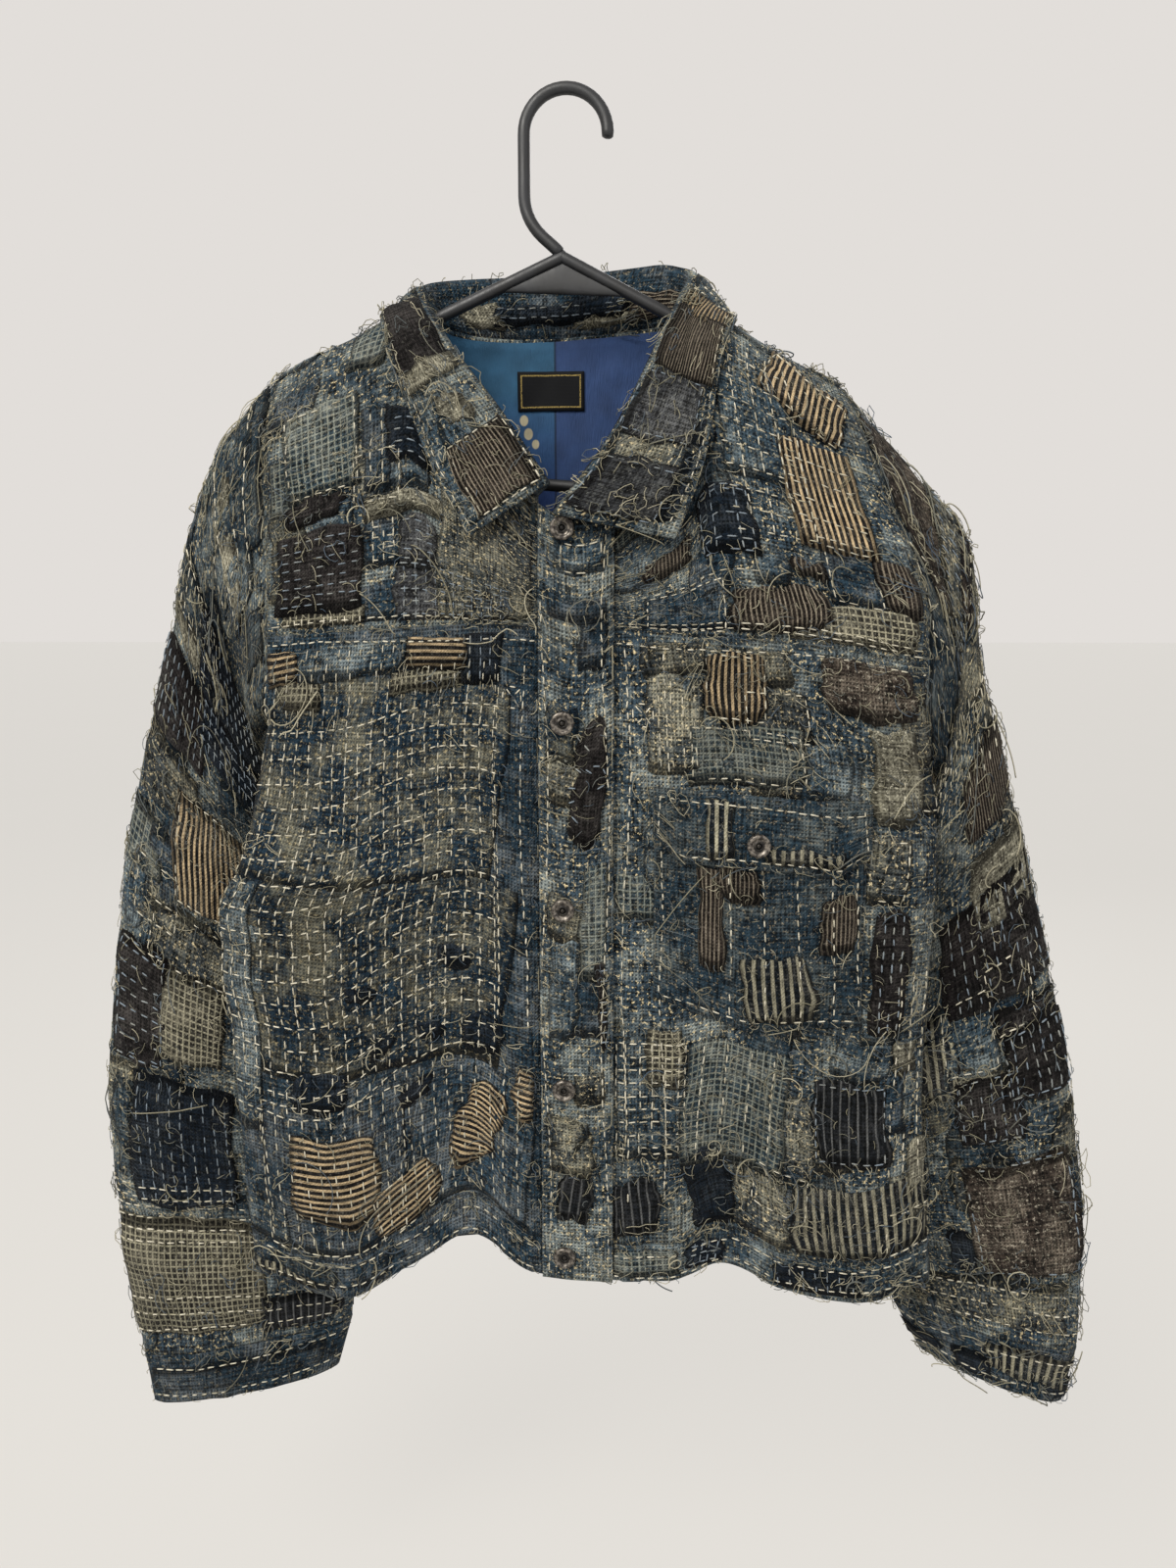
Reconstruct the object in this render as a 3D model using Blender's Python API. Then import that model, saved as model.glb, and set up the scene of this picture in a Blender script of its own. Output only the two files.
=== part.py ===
"""Patched work jacket, buttoned and hung on a moulded hanger.

The jacket is a net of cloth pieces. Every piece is a grid of points on one shared middle surface. It is
given a wall by moving the points out and in along the normals it shares with its neighbours, so that seams
meet with a mitre. Right and left are the wearer's: the right side is at -X, the front faces -Y. The origin
is the top inside of the hanger's hook, where a rail bears. Tables are in millimetres, everything built is
in metres.
"""

from types import SimpleNamespace

import bmesh
import bpy
import numpy as np

MM = 0.001

# Walls and clearances
CLOTH = 2.0 * MM
BAND_CLOTH = 2.6 * MM
LINING_CLOTH = 1.0 * MM
LABEL_CLOTH = 1.0 * MM
PATCH_CLOTH = 1.0 * MM
SEAM_GAP = 0.46 * MM
LAY_GAP = 0.3 * MM
PIECE_LIFT = 0.8 * MM  # between a panel and a piece sewn on it
FLAP_LIFT = 1.6 * MM  # between the pocket and its flap
NEAR_LINE = 0.3  # a laid piece's edge this near a row or column of its panel, in grid steps, is put on it
SETTLING_STEPS = 20  # rounds in which two numbers that depend on each other settle
NOTCH = 1.3 * MM  # how far the four pieces that meet under the arm stay back from that point

# Front closure and hem
BAND_RIGHT_EDGE, BAND_LEFT_EDGE, FRONT_LEFT_EDGE = -12.0, 36.0, 31.0
CLOSURE_ROWS, CLOSURE_COLUMNS = 15, 5
HEM_BAND = 27.0
PLEAT_RISE = 2.0
BUTTON_DIAMETER = 15.2 * MM
BUTTON_HEIGHT = 3.6 * MM

# Hanger
TUBE = 8.0 * MM
WEB = 3.0 * MM
BUTTON_SIDES = 14


def table(columns, *rows):
    """A table with named columns, one array each."""
    return SimpleNamespace(**dict(zip(columns.split(), np.array(rows, float).T)))


def smooth(at, knots, values):
    """Cubic through the knots. Its slopes are harmonic means of its neighbours, so it never overshoots."""
    step = np.diff(knots)
    rise = np.diff(values) / step
    product = rise[:-1] * rise[1:]
    total = rise[:-1] + rise[1:]
    inner = np.where(product > 0, 2 * product / np.where(total == 0, 1, total), 0)
    slope = np.concatenate([rise[:1], inner, rise[-1:]])
    i = np.clip(np.searchsorted(knots, at, side="right") - 1, 0, len(step) - 1)
    t = np.clip((at - knots[i]) / step[i], 0, 1)
    return (
        (1 + 2 * t) * (1 - t) ** 2 * values[i]
        + t * (1 - t) ** 2 * step[i] * slope[i]
        + t * t * (3 - 2 * t) * values[i + 1]
        + t * t * (t - 1) * step[i] * slope[i + 1]
    )


# Side edge of each half, hem to shoulder: the side seam, and above the underarm the two armhole edges.
SIDE = {
    "right": table(
        "z x front back",
        (-830, -221, -24, -24),
        (-792, -222, -25, -25),
        (-700, -227, -27, -27),
        (-617, -228, -27, -27),
        (-575, -233, -28, -28),
        (-532, -234, -28, -28),
        (-497, -220, -25, -25),
        (-443, -207, -19, -19),
        (-418, -204, -12, -12),
        (-402, -203, 0, 0),
        (-392, -200, -20, 18),
        (-375, -196, -33, 28),
        (-345, -190, -42, 33),
        (-290, -187, -43, 35),
        (-240, -189, -38, 32),
        (-205, -188, -28, 24),
        (-170.8, -188, -14, 12),
    ),
    "left": table(
        "z x front back",
        (-830, 257, -24, -24),
        (-786, 256, -25, -25),
        (-713, 249, -27, -27),
        (-640, 245, -27, -27),
        (-573, 246, -28, -28),
        (-530, 248, -29, -29),
        (-490, 249, -27, -27),
        (-450, 248, -16, -16),
        (-430, 246, -4, -4),
        (-419, 243, -24, 14),
        (-400, 237, -36, 25),
        (-370, 233, -44, 32),
        (-333, 232, -46, 34),
        (-302, 223, -45, 34),
        (-277, 214, -43, 33),
        (-239, 198, -38, 30),
        (-215, 190, -28, 24),
        (-181.8, 180, -14, 12),
    ),
}
UNDERARM = {"right": -402.0, "left": -430.0}

# Depth of the front and back where they are fullest.
FULL = table(
    "z front back",
    (-830, -47, 33),
    (-700, -51, 37),
    (-600, -54, 40),
    (-450, -57, 42),
    (-340, -56, 42),
    (-250, -53, 38),
    (-130, -50, 34),
)

# Top edge from shoulder to shoulder: the shoulder seams lie on the hanger, the neckline drops between them.
FRONT_TOP = table(
    "x y z",
    (-188, 0, -170.8),
    (-140, 0, -151.6),
    (-92, 0, -132.4),
    (-80, -19, -148),
    (-62, -37, -182),
    (-38, -49, -222),
    (-11, -55, -257),
    (12, -56, -266),
    (31, -55, -262),
    (52, -49, -236),
    (70, -35, -196),
    (80, -19, -158),
    (90, 0, -138.8),
    (135, 0, -160.2),
    (180, 0, -181.8),
)
BACK_TOP = table(
    "x y z",
    (-188, 0, -170.8),
    (-140, 0, -151.6),
    (-92, 0, -132.4),
    (-78, 17, -138),
    (-58, 27, -141),
    (-30, 32, -142),
    (0, 33, -141),
    (30, 32, -139),
    (56, 27, -137),
    (77, 17, -136),
    (90, 0, -138.8),
    (135, 0, -160.2),
    (180, 0, -181.8),
)
SHOULDER = {"right": -188.0, "left": 180.0}
NECK_POINT = {"right": -92.0, "left": 90.0}
ARCH_REACH = 62.0  # how far below the top edge the cloth reaches its full depth

# Horizontal seams across the body.
HEM = table(
    "x z",
    (-222, -792),
    (-190, -797),
    (-152, -803),
    (-104, -776),
    (-62, -754),
    (-12, -779),
    (33, -782),
    (74, -782),
    (110, -769),
    (155, -785),
    (205, -796),
    (244, -786),
)
BACK_HEM = table(
    "x z", (-222, -792), (-150, -784), (-60, -790), (40, -778), (150, -790), (244, -786)
)
YOKE_SEAM = table(
    "x z",
    (-186, -343),
    (-107, -338),
    (-44, -335),
    (-11, -337),
    (31, -338),
    (81, -342),
    (155, -348),
    (226, -361),
)
BACK_YOKE_SEAM = table(
    "x z", (-186, -343), (-60, -346), (20, -350), (110, -352), (226, -361)
)

# Sleeve sections below the armhole: the outer edge, the inner edge, and the depth before and behind them.
SLEEVE = {
    "right": table(
        "w ox oy oz ix iy iz front back",
        (0.05, -203, -4, -189, -213, 5, -409, 42, 32),
        (0.13, -226, -7, -221, -220, 15, -424, 39, 30),
        (0.22, -246, -8, -268, -213, 24, -444, 37, 28),
        (0.32, -263, -7, -330, -197, 27, -485, 35, 27),
        (0.43, -284, -6, -402, -180, 23, -535, 33, 27),
        (0.54, -305, -5, -480, -173, 24, -592, 32, 26),
        (0.66, -323, -3, -585, -168, 24, -660, 31, 25),
        (0.78, -334, -1, -690, -165, 22, -728, 30, 24),
        (0.89, -330, 0, -790, -163, 19, -797, 27, 22),
        (1.00, -320, 2, -878, -166, 16, -857, 24, 20),
    ),
    "left": table(
        "w ox oy oz ix iy iz front back",
        (0.05, 200, -4, -208, 256, 2, -437, 40, 32),
        (0.13, 228, -7, -242, 262, 13, -452, 38, 30),
        (0.22, 263, -8, -285, 258, 24, -470, 37, 28),
        (0.32, 272, -7, -350, 240, 27, -506, 35, 27),
        (0.43, 290, -6, -412, 219, 25, -546, 33, 27),
        (0.54, 309, -5, -480, 205, 27, -596, 32, 26),
        (0.66, 336, -3, -583, 199, 27, -656, 31, 25),
        (0.78, 357, -1, -680, 204, 24, -716, 30, 24),
        (0.89, 369, 0, -775, 218, 20, -776, 27, 22),
        (1.00, 370, 2, -850, 241, 16, -826, 24, 20),
    ),
}
CUFF_END = {
    "right": dict(ox=-316, oy=3, oz=-920, ix=-177, iy=14, iz=-896, front=21, back=18),
    "left": dict(ox=362, oy=3, oz=-893, ix=262, iy=14, iz=-864, front=21, back=18),
}
INNER_THINNING = 0.3  # the sleeve is thinner towards its inner edge, where it lies behind the body
BLEND_SHARE = 0.34  # share of the sleeve over which its section turns from the armhole's into an oval
OVAL_POWER = 0.85  # under 1, so that the sleeve's oval is fuller towards its two edges
SLEEVE_ROWS = 9
DEGREES_PER_SLEEVE = 900  # how many degrees round a sleeve measure as much as its length

# Collar: the line where it rolls over and the fall's outer edge, from right front round to left front.
ROLL = table(
    "c x y z",
    (-1.00, -4, -64, -250),
    (-0.82, -34, -56, -206),
    (-0.62, -70, -36, -158),
    (-0.45, -92, -3, -117),
    (-0.25, -62, 24, -105),
    (0.00, 0, 33, -101),
    (0.25, 60, 24, -98),
    (0.45, 82, -3, -112),
    (0.62, 66, -36, -152),
    (0.82, 36, -58, -216),
    (1.00, -2, -66, -268),
)
EDGE = table(
    "c x y z",
    (-1.00, -54, -67, -281),
    (-0.82, -80, -60, -232),
    (-0.62, -104, -38, -170),
    (-0.45, -116, 4, -134),
    (-0.25, -78, 50, -158),
    (0.00, 0, 56, -164),
    (0.25, 76, 50, -158),
    (0.45, 112, 4, -140),
    (0.62, 102, -38, -166),
    (0.82, 92, -62, -232),
    (1.00, 74, -68, -284),
)

# How the fall leaves the roll: shares of the way to its edge and how far it stands out there.
FALL = table("share out", (0.01, 3.3), (0.12, 4.6), (0.3, 4.6), (0.52, 3.2), (0.78, 1.4), (1.0, 0.0))
STAND_SHARES = (0.0, 0.34, 0.7, 1.0)
COLLAR_TURN = 0.45  # the neck points' share of the way from the centre back to the front
COLLAR_CLEAR = 5.0
COLLAR_FOOT = 0.6 * MM  # how far the stand's foot stays above the neckline
ROLL_GAP = 0.4 * MM  # how far the stand stays under the roll
LEVEL = np.array([1.0, 1.0, 0.0])

# Buttons
BUTTON_LINE = 3.5
BUTTON_HEIGHTS = (-276, -397, -518, -641, -762)
BUTTON_LIFT = 0.7 * MM
BAND_LIFT = 1.0 * MM
BAND_DROP = 4.0  # how far the band ends under the collar
BUTTON_PROFILE = table(
    "radius height",
    (0.26, 0),
    (0.86, 0),
    (1, 0.35),
    (0.95, 0.85),
    (0.76, 1),
    (0.5, 0.62),
    (0.3, 0.8),
    (0.24, 0.5),
)

# What lies on a panel, as x and z of two opposite corners.
POCKET = (62, -576, 198, -447)
POCKET_FOOT = table("share drop", (0, 20), (0.55, 24), (1, 0))
FLAP = (61, -468, 200, -438)
FLAP_FOOT = table("share drop", (0, 12), (0.14, 26), (0.86, 18), (1, 0))
FLAP_BUTTON = (128, -474)
LINING = (-84, -300, 78, -156)
LABEL = (-34, -189, 12, -163)
PATCHES = (
    ("brown_shoulder", "yoke_right", -177, -326, -127, -276),
    ("rib_low_right", "front_right", -162, -728, -104, -672),
    ("tweed_chest", "front_left", 168, -408, 224, -366),
    ("pinstripe_low_left", "front_left", 164, -702, 212, -650),
)

# Largest folds: soft ridges (+) and troughs (-) from one point to another of a panel.
FRONT_FOLDS = table(
    "x1 z1 x2 z2 width rise",
    (-190, -440, -110, -520, 34, -6),
    (-232, -540, -150, -470, 26, 6),
    (-95, -470, -40, -620, 30, 5),
    (-150, -600, -60, -760, 30, -6),
    (-190, -620, -165, -800, 26, 6),
    (-70, -640, -60, -760, 20, -5),
    (70, -640, 112, -780, 26, -6),
    (205, -470, 262, -510, 24, 7),
    (225, -560, 215, -780, 26, 5),
    (150, -640, 165, -790, 24, 4),
    (-150, -215, -170, -330, 26, -4),
    (150, -220, 205, -330, 26, -4),
    (60, -300, 150, -270, 24, 3),
)
BACK_FOLDS = table(
    "x1 z1 x2 z2 width rise",
    (-60, -380, -90, -760, 34, 6),
    (40, -400, 20, -780, 40, -6),
    (120, -420, 150, -780, 34, 6),
    (-140, -420, -165, -760, 30, -5),
    (-150, -230, -120, -330, 30, 4),
    (150, -250, 120, -340, 30, 4),
)
# Sleeve folds by share of the length and angle from the outer edge: 0 to 180 in front, 180 to 360 behind.
SLEEVE_FOLDS = table(
    "w1 angle1 w2 angle2 width rise",
    (0.10, 150, 0.26, 60, 0.045, -5),
    (0.30, 160, 0.44, 40, 0.050, 5),
    (0.48, 150, 0.60, 30, 0.045, -5),
    (0.62, 40, 0.72, 150, 0.050, 5),
    (0.76, 150, 0.90, 60, 0.045, -4),
    (0.20, 210, 0.34, 320, 0.050, 5),
    (0.46, 200, 0.62, 330, 0.050, -5),
    (0.74, 220, 0.88, 310, 0.045, 4),
)


FOLD_END = 0.55  # share of its height that a fold keeps at its ends


def ridges(u, v, folds, u_scale=1.0, v_scale=1.0):
    """Sum of the folds' bell-shaped heights by distance from each fold's line."""
    height = np.zeros(np.shape(u))
    for u1, v1, u2, v2, width, rise in zip(*vars(folds).values()):
        along = np.array([(u2 - u1) * u_scale, (v2 - v1) * v_scale])
        du, dv = (u - u1) * u_scale, (v - v1) * v_scale
        t = np.clip((du * along[0] + dv * along[1]) / (along @ along), 0, 1)
        off = np.hypot(du - t * along[0], dv - t * along[1])
        height += rise * np.exp(-((off / width) ** 2)) * (FOLD_END + (1 - FOLD_END) * np.sin(np.pi * t))
    return height


def side_edge(side, z):
    edge = SIDE[side]
    return smooth(z, edge.z, edge.x), smooth(z, edge.z, edge.front), smooth(z, edge.z, edge.back)


def top_edge(top, x):
    return smooth(x, top.x, top.y), smooth(x, top.x, top.z)


# How squarely the body turns at its sides: the power of a curve that is a circle's at 2.
FRONT_SQUARENESS, BACK_SQUARENESS = 2.6, 2.4
TUCKED_BELOW, TUCK_FADE = -425, 50  # the back's sides are drawn in below this height
FRONT_FOLD_START, BACK_FOLD_START = 6, 3  # the folds reach full height at one part in so many of the width


def front_depth(side, x, z):
    """Y of the front's middle surface: rounded side, level centre, arch under the top edge, pleat, folds."""
    x_side, y_side, _ = side_edge(side, z)
    share = np.clip((x - x_side) / (centre_of(side) - x_side), 0, 1)
    level = (1 - (1 - share) ** FRONT_SQUARENESS) ** (1 / FRONT_SQUARENESS)
    body = y_side + (smooth(z, FULL.z, FULL.front) - y_side) * level
    first, last = PLEAT[side]
    pleat = np.clip((share - first) / PLEAT_TURN, 0, 1) * np.clip((last - share) / PLEAT_TURN, 0, 1)
    body = body - PLEAT_RISE * pleat * (z < smooth(x, YOKE_SEAM.x, YOKE_SEAM.z) - 1)
    body = body - ridges(x, z, FRONT_FOLDS) * np.clip(share * FRONT_FOLD_START, 0, 1)
    y_top, z_top = top_edge(FRONT_TOP, x)
    return y_top + (body - y_top) * arch(z_top - z)


def back_depth(x, z):
    """Y of the back's middle surface. Low down it is drawn in beside the sleeves that hang there."""
    x_right, _, y_right = side_edge("right", z)
    x_left, _, y_left = side_edge("left", z)
    share = np.clip((x - x_right) / (x_left - x_right), 0, 1)
    near = np.minimum(share, 1 - share) * 2
    y_side = np.where(share < 0.5, y_right, y_left)
    drawn_in = near**2 * (3 - 2 * near)
    rounded = (1 - (1 - near) ** BACK_SQUARENESS) ** (1 / BACK_SQUARENESS)
    above = np.clip((z - TUCKED_BELOW) / TUCK_FADE, 0, 1)
    body = y_side + (smooth(z, FULL.z, FULL.back) - y_side) * (drawn_in + (rounded - drawn_in) * above)
    body = body + ridges(x, z, BACK_FOLDS) * np.clip(near * BACK_FOLD_START, 0, 1)
    y_top, z_top = top_edge(BACK_TOP, x)
    return y_top + (body - y_top) * arch(z_top - z)


def arch(drop):
    share = 1 - np.clip(drop / ARCH_REACH, 0, 1)
    return (1 - share**BACK_SQUARENESS) ** (1 / BACK_SQUARENESS)


# Shares of the height at which the rows of a panel lie, and of the width at which its columns lie. The
# underarm is a row, the neck points and the pleats' edges are columns.
BODY_ROWS = 12
ROW_CROWDING = 0.93  # under 1, so that the rows stand a little closer towards the underarm
ROWS_ABOVE_UNDERARM = np.array([0.0, 0.08, 0.3, 1.0])
YOKE_ROWS = np.array([0, 0.17, 0.34, 0.52, 0.69, 0.83, 0.93, 0.982, 1.0])
SHOULDER_COLUMNS = np.array([0, 0.055, 0.165, 0.367, 0.65, 1.0])
BACK_NECK_COLUMNS = np.array([0.09, 0.2, 0.34, 0.5, 0.66, 0.8, 0.91])
FRONT_NECK_COLUMNS = np.array([0.1, 0.24, 0.48, 0.76])
PLEAT = {"right": (0.86, 0.975), "left": (0.885, 0.955)}
PLEAT_TURN = 0.012


def body_shares(side):
    """Row shares from hem seam to yoke seam, with a row at the underarm."""
    low, high = HEM.z[0 if side == "right" else -1] + HEM_BAND, YOKE_SEAM.z[0 if side == "right" else -1]
    underarm = (UNDERARM[side] - low) / (high - low)
    below = np.linspace(0, 1, BODY_ROWS) ** ROW_CROWDING * underarm
    above = underarm + (1 - underarm) * ROWS_ABOVE_UNDERARM
    return np.concatenate([below, above[1:]])


def centre_of(side):
    return BAND_RIGHT_EDGE if side == "right" else FRONT_LEFT_EDGE


def front_x(side, z, columns):
    x_side = side_edge(side, z)[0]
    return x_side + (centre_of(side) - x_side) * columns


def back_x(z, columns):
    x_right, x_left = side_edge("right", z)[0], side_edge("left", z)[0]
    return x_right + (x_left - x_right) * columns


def seam_line(seam, x_at, columns):
    """Height of a seam at each column. X depends on height and height on x, so they are settled together."""
    z = np.full(len(columns), seam(0.0))
    for _ in range(SETTLING_STEPS):
        z = seam(x_at(z, columns))
    return z


def seam_of(seam, lift=0.0):
    return lambda x: smooth(x, seam.x, seam.z) + lift


def front_grid(side, low, high, row_shares, columns):
    """Points of a front piece between two seams."""

    def x_at(z, share):
        return front_x(side, z, share)

    low_z, high_z = seam_line(low, x_at, columns), seam_line(high, x_at, columns)
    z = low_z + (high_z - low_z) * row_shares[:, None]
    x = front_x(side, z, columns)
    return np.stack([x, front_depth(side, x, z), z], axis=-1) * MM


def back_grid(low, high, row_shares, columns):
    """Points of a back piece. Its row shares change from the right side's to the left side's."""
    low_z, high_z = seam_line(low, back_x, columns), seam_line(high, back_x, columns)
    shares = row_shares[0][:, None] * (1 - columns) + row_shares[1][:, None] * columns
    z = low_z + (high_z - low_z) * shares
    x = back_x(z, columns)
    return np.stack([x, back_depth(x, z), z], axis=-1) * MM


def front_columns(side):
    neck = (NECK_POINT[side] - SHOULDER[side]) / (centre_of(side) - SHOULDER[side])
    first, last = PLEAT[side]
    between = neck + (first - neck) * FRONT_NECK_COLUMNS
    pleat = [first, first + PLEAT_TURN, last - PLEAT_TURN, last, 1.0]
    return np.concatenate([neck * SHOULDER_COLUMNS, between, pleat])


def back_columns():
    width = SHOULDER["left"] - SHOULDER["right"]
    right = (NECK_POINT["right"] - SHOULDER["right"]) / width
    left = (NECK_POINT["left"] - SHOULDER["right"]) / width
    neck = right + (left - right) * BACK_NECK_COLUMNS
    return np.concatenate([right * SHOULDER_COLUMNS, neck, 1 - (1 - left) * SHOULDER_COLUMNS[::-1]])


def body_pieces():
    """Grids of the body: rows upwards, columns from side to centre or from right side to left side."""
    pieces = {}
    shares = {side: body_shares(side) for side in SIDE}
    band = np.array([0, 0.5, 1.0])
    hem, hem_top, yoke = seam_of(HEM), seam_of(HEM, HEM_BAND), seam_of(YOKE_SEAM)
    for side in SIDE:
        columns = front_columns(side)
        pieces["hem_" + side] = front_grid(side, hem, hem_top, band, columns)
        pieces["front_" + side] = front_grid(side, hem_top, yoke, shares[side], columns)
        pieces["yoke_" + side] = front_grid(side, yoke, seam_of(FRONT_TOP), YOKE_ROWS, columns)
    columns = back_columns()
    hem, hem_top, yoke = seam_of(BACK_HEM), seam_of(BACK_HEM, HEM_BAND), seam_of(BACK_YOKE_SEAM)
    pieces["hem_back"] = back_grid(hem, hem_top, (band, band), columns)
    pieces["back"] = back_grid(hem_top, yoke, (shares["right"], shares["left"]), columns)
    pieces["yoke_back"] = back_grid(yoke, seam_of(BACK_TOP), (YOKE_ROWS, YOKE_ROWS), columns)
    return pieces


def sleeve_halves(side, pieces):
    """Front and back half of a sleeve, as rings from the armhole down. Point 0 of a ring is outermost."""
    above = len(ROWS_ABOVE_UNDERARM)
    edge = 0 if side == "right" else -1
    armhole = {
        "front": [pieces["front_" + side][-above:-1, 0], pieces["yoke_" + side][:, 0]],
        "back": [pieces["back"][-above:-1, edge], pieces["yoke_back"][:, edge]],
    }
    rows = SLEEVE[side]
    levels = np.concatenate([[0], rows.w[:3], np.linspace(rows.w[3], 1.0, SLEEVE_ROWS)])
    halves = {}
    for name, sign in (("front", -1), ("back", 1)):
        loop = np.concatenate(armhole[name])[::-1]
        axis = loop[-1] - loop[0]
        share = ((loop - loop[0]) @ axis) / (axis @ axis)
        local = loop - loop[0] - share[:, None] * axis
        local /= np.abs(local[:, 1]).max()
        angle = np.pi * np.linspace(0, 1, len(loop))
        rings = [loop]
        for w in levels[1:]:
            outer, inner = (edge_point(rows, end, w) for end in "oi")
            depth = sign * smooth(w, rows.w, getattr(rows, name))
            fold = sign * sleeve_fold(w, angle if name == "front" else 2 * np.pi - angle)
            rings.append(section(outer, inner, depth, fold, angle, share, local, w) * MM)
        halves[name] = np.array(rings)
    return halves


def edge_point(rows, end, w):
    return np.array([smooth(w, rows.w, getattr(rows, end + axis)) for axis in "xyz"])


def sleeve_fold(w, angle):
    along = np.full(len(angle), float(w))
    height = ridges(along, np.degrees(angle), SLEEVE_FOLDS, v_scale=1 / DEGREES_PER_SLEEVE)
    return height * np.abs(np.sin(angle))


def oval(angle, depth):
    """Depth of a sleeve's section from its outer edge round to its inner one, where it is thinner."""
    return depth * np.abs(np.sin(angle)) ** OVAL_POWER * (1 - INNER_THINNING * (1 - np.cos(angle)) / 2)


def section(outer, inner, depth, fold, angle, share, local, w):
    """One ring's half: an oval between its two edges, near the armhole still shaped like the armhole."""
    turned = min(w / BLEND_SHARE, 1)
    turned = turned**2 * (3 - 2 * turned)
    share = share + ((1 - np.cos(angle)) / 2 - share) * turned
    ring = outer + share[:, None] * (inner - outer) + local * abs(depth) * (1 - turned)
    ring[1:-1, 1] += (oval(angle, depth) * turned + fold)[1:-1]
    return ring


def cuff_rings(side, halves):
    """Closed rings of a cuff, from the sleeve's end to the wrist."""
    end = CUFF_END[side]
    outer, inner = (np.array([end[e + "x"], end[e + "y"], end[e + "z"]], float) for e in "oi")
    angle = np.pi * np.linspace(0, 1, len(halves["front"][-1]))
    wrist = []
    for name, sign in (("front", -1), ("back", 1)):
        half = outer + ((1 - np.cos(angle)) / 2)[:, None] * (inner - outer)
        half[1:-1, 1] += sign * oval(angle, end[name])[1:-1]
        wrist.append(half * MM)
    top = np.concatenate([halves["front"][-1], halves["back"][-1][-2:0:-1]])
    bottom = np.concatenate([wrist[0], wrist[1][-2:0:-1]])
    return top + (bottom - top) * np.array([0, 0.5, 1.0])[:, None, None]


def collar_grid(pieces):
    """Rows from the neckline up to the roll and down to the fall's edge, and the roll's row number."""
    neckline, at = neckline_points(pieces)
    roll, edge = (
        np.stack([smooth(at, line.c, getattr(line, k)) for k in "xyz"], axis=-1) for line in (ROLL, EDGE)
    )
    rows = [neckline + (roll - neckline) * share for share in STAND_SHARES]
    stand = np.array(rows)
    away = unit(normals_facing(stand, (stand - stand.mean(axis=(0, 1))) * LEVEL))[-1]
    for share, out in zip(FALL.share, FALL.out):
        rows.append(clear_of_body(roll + (edge - roll) * share + away * out))
    return np.array(rows) * MM, len(STAND_SHARES) - 1


def neckline_points(pieces):
    """Neckline from the right front's edge round the back to the left front's, and shares of the way."""
    neck = len(SHOULDER_COLUMNS) - 1
    right = pieces["yoke_right"][-1, neck:][::-1] / MM
    left = pieces["yoke_left"][-1, neck:] / MM
    back = pieces["yoke_back"][-1, neck + 1 : -neck - 1] / MM
    at_right = -1 + (1 - COLLAR_TURN) * (right[:, 0] - right[0, 0]) / (right[-1, 0] - right[0, 0])
    at_left = COLLAR_TURN + (1 - COLLAR_TURN) * (left[:, 0] - left[0, 0]) / (left[-1, 0] - left[0, 0])
    width = NECK_POINT["left"] - NECK_POINT["right"]
    at_back = COLLAR_TURN * (2 * (back[:, 0] - NECK_POINT["right"]) / width - 1)
    return np.concatenate([right, back, left]), np.concatenate([at_right, at_back, at_left])


def clear_of_body(points):
    """Points of the collar's fall, moved out where they come too near the body's cloth."""
    x, y, z = points.T
    for top, depth, sign in ((FRONT_TOP, outside_front, -1), (BACK_TOP, back_depth, 1)):
        surface = depth(x, z - COLLAR_CLEAR) + sign * COLLAR_CLEAR
        under = (z < smooth(x, top.x, top.z) + COLLAR_CLEAR) & (y * sign > -2)
        y = np.where(under, sign * np.maximum(sign * y, sign * surface), y)
    return np.stack([x, y, z], axis=-1)


def outside_front(x, z):
    return np.where(x < 0, front_depth("right", x, z), front_depth("left", x, z))


def face_normals(grid, closed=False):
    """Area-weighted normal of the faces round each point of a grid."""
    wide = np.concatenate([grid, grid[:, :1]], axis=1) if closed else grid
    face = np.cross(wide[1:, 1:] - wide[:-1, :-1], wide[1:, :-1] - wide[:-1, 1:])
    total = np.zeros(grid.shape)
    if closed:
        face = face + np.roll(face, 1, axis=1)
    for rows in (slice(None, -1), slice(1, None)):
        for columns in (slice(None),) if closed else (slice(None, -1), slice(1, None)):
            total[rows, columns] += face
    return total


def normals_facing(grid, outward, closed=False):
    """Normals of a grid, turned to the side that the outward vectors point to."""
    normals = face_normals(grid, closed)
    return normals * np.sign((normals * outward).sum())


def unit(vectors):
    return vectors / np.linalg.norm(vectors, axis=-1, keepdims=True)


class Net:
    """Normals shared by the pieces of the jacket, summed at each point where they meet."""

    def __init__(self):
        self.sums = {}

    @staticmethod
    def keys(grid):
        return [tuple(k) for k in np.round(grid.reshape(-1, 3) / MM, 2).tolist()]

    def add(self, grid, outward, closed=False):
        normals = normals_facing(grid, outward, closed)
        for key, normal in zip(self.keys(grid), normals.reshape(-1, 3)):
            self.sums[key] = self.sums.get(key, 0) + normal

    def at(self, grid):
        return unit(np.array([self.sums[key] for key in self.keys(grid)])).reshape(grid.shape)


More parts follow.
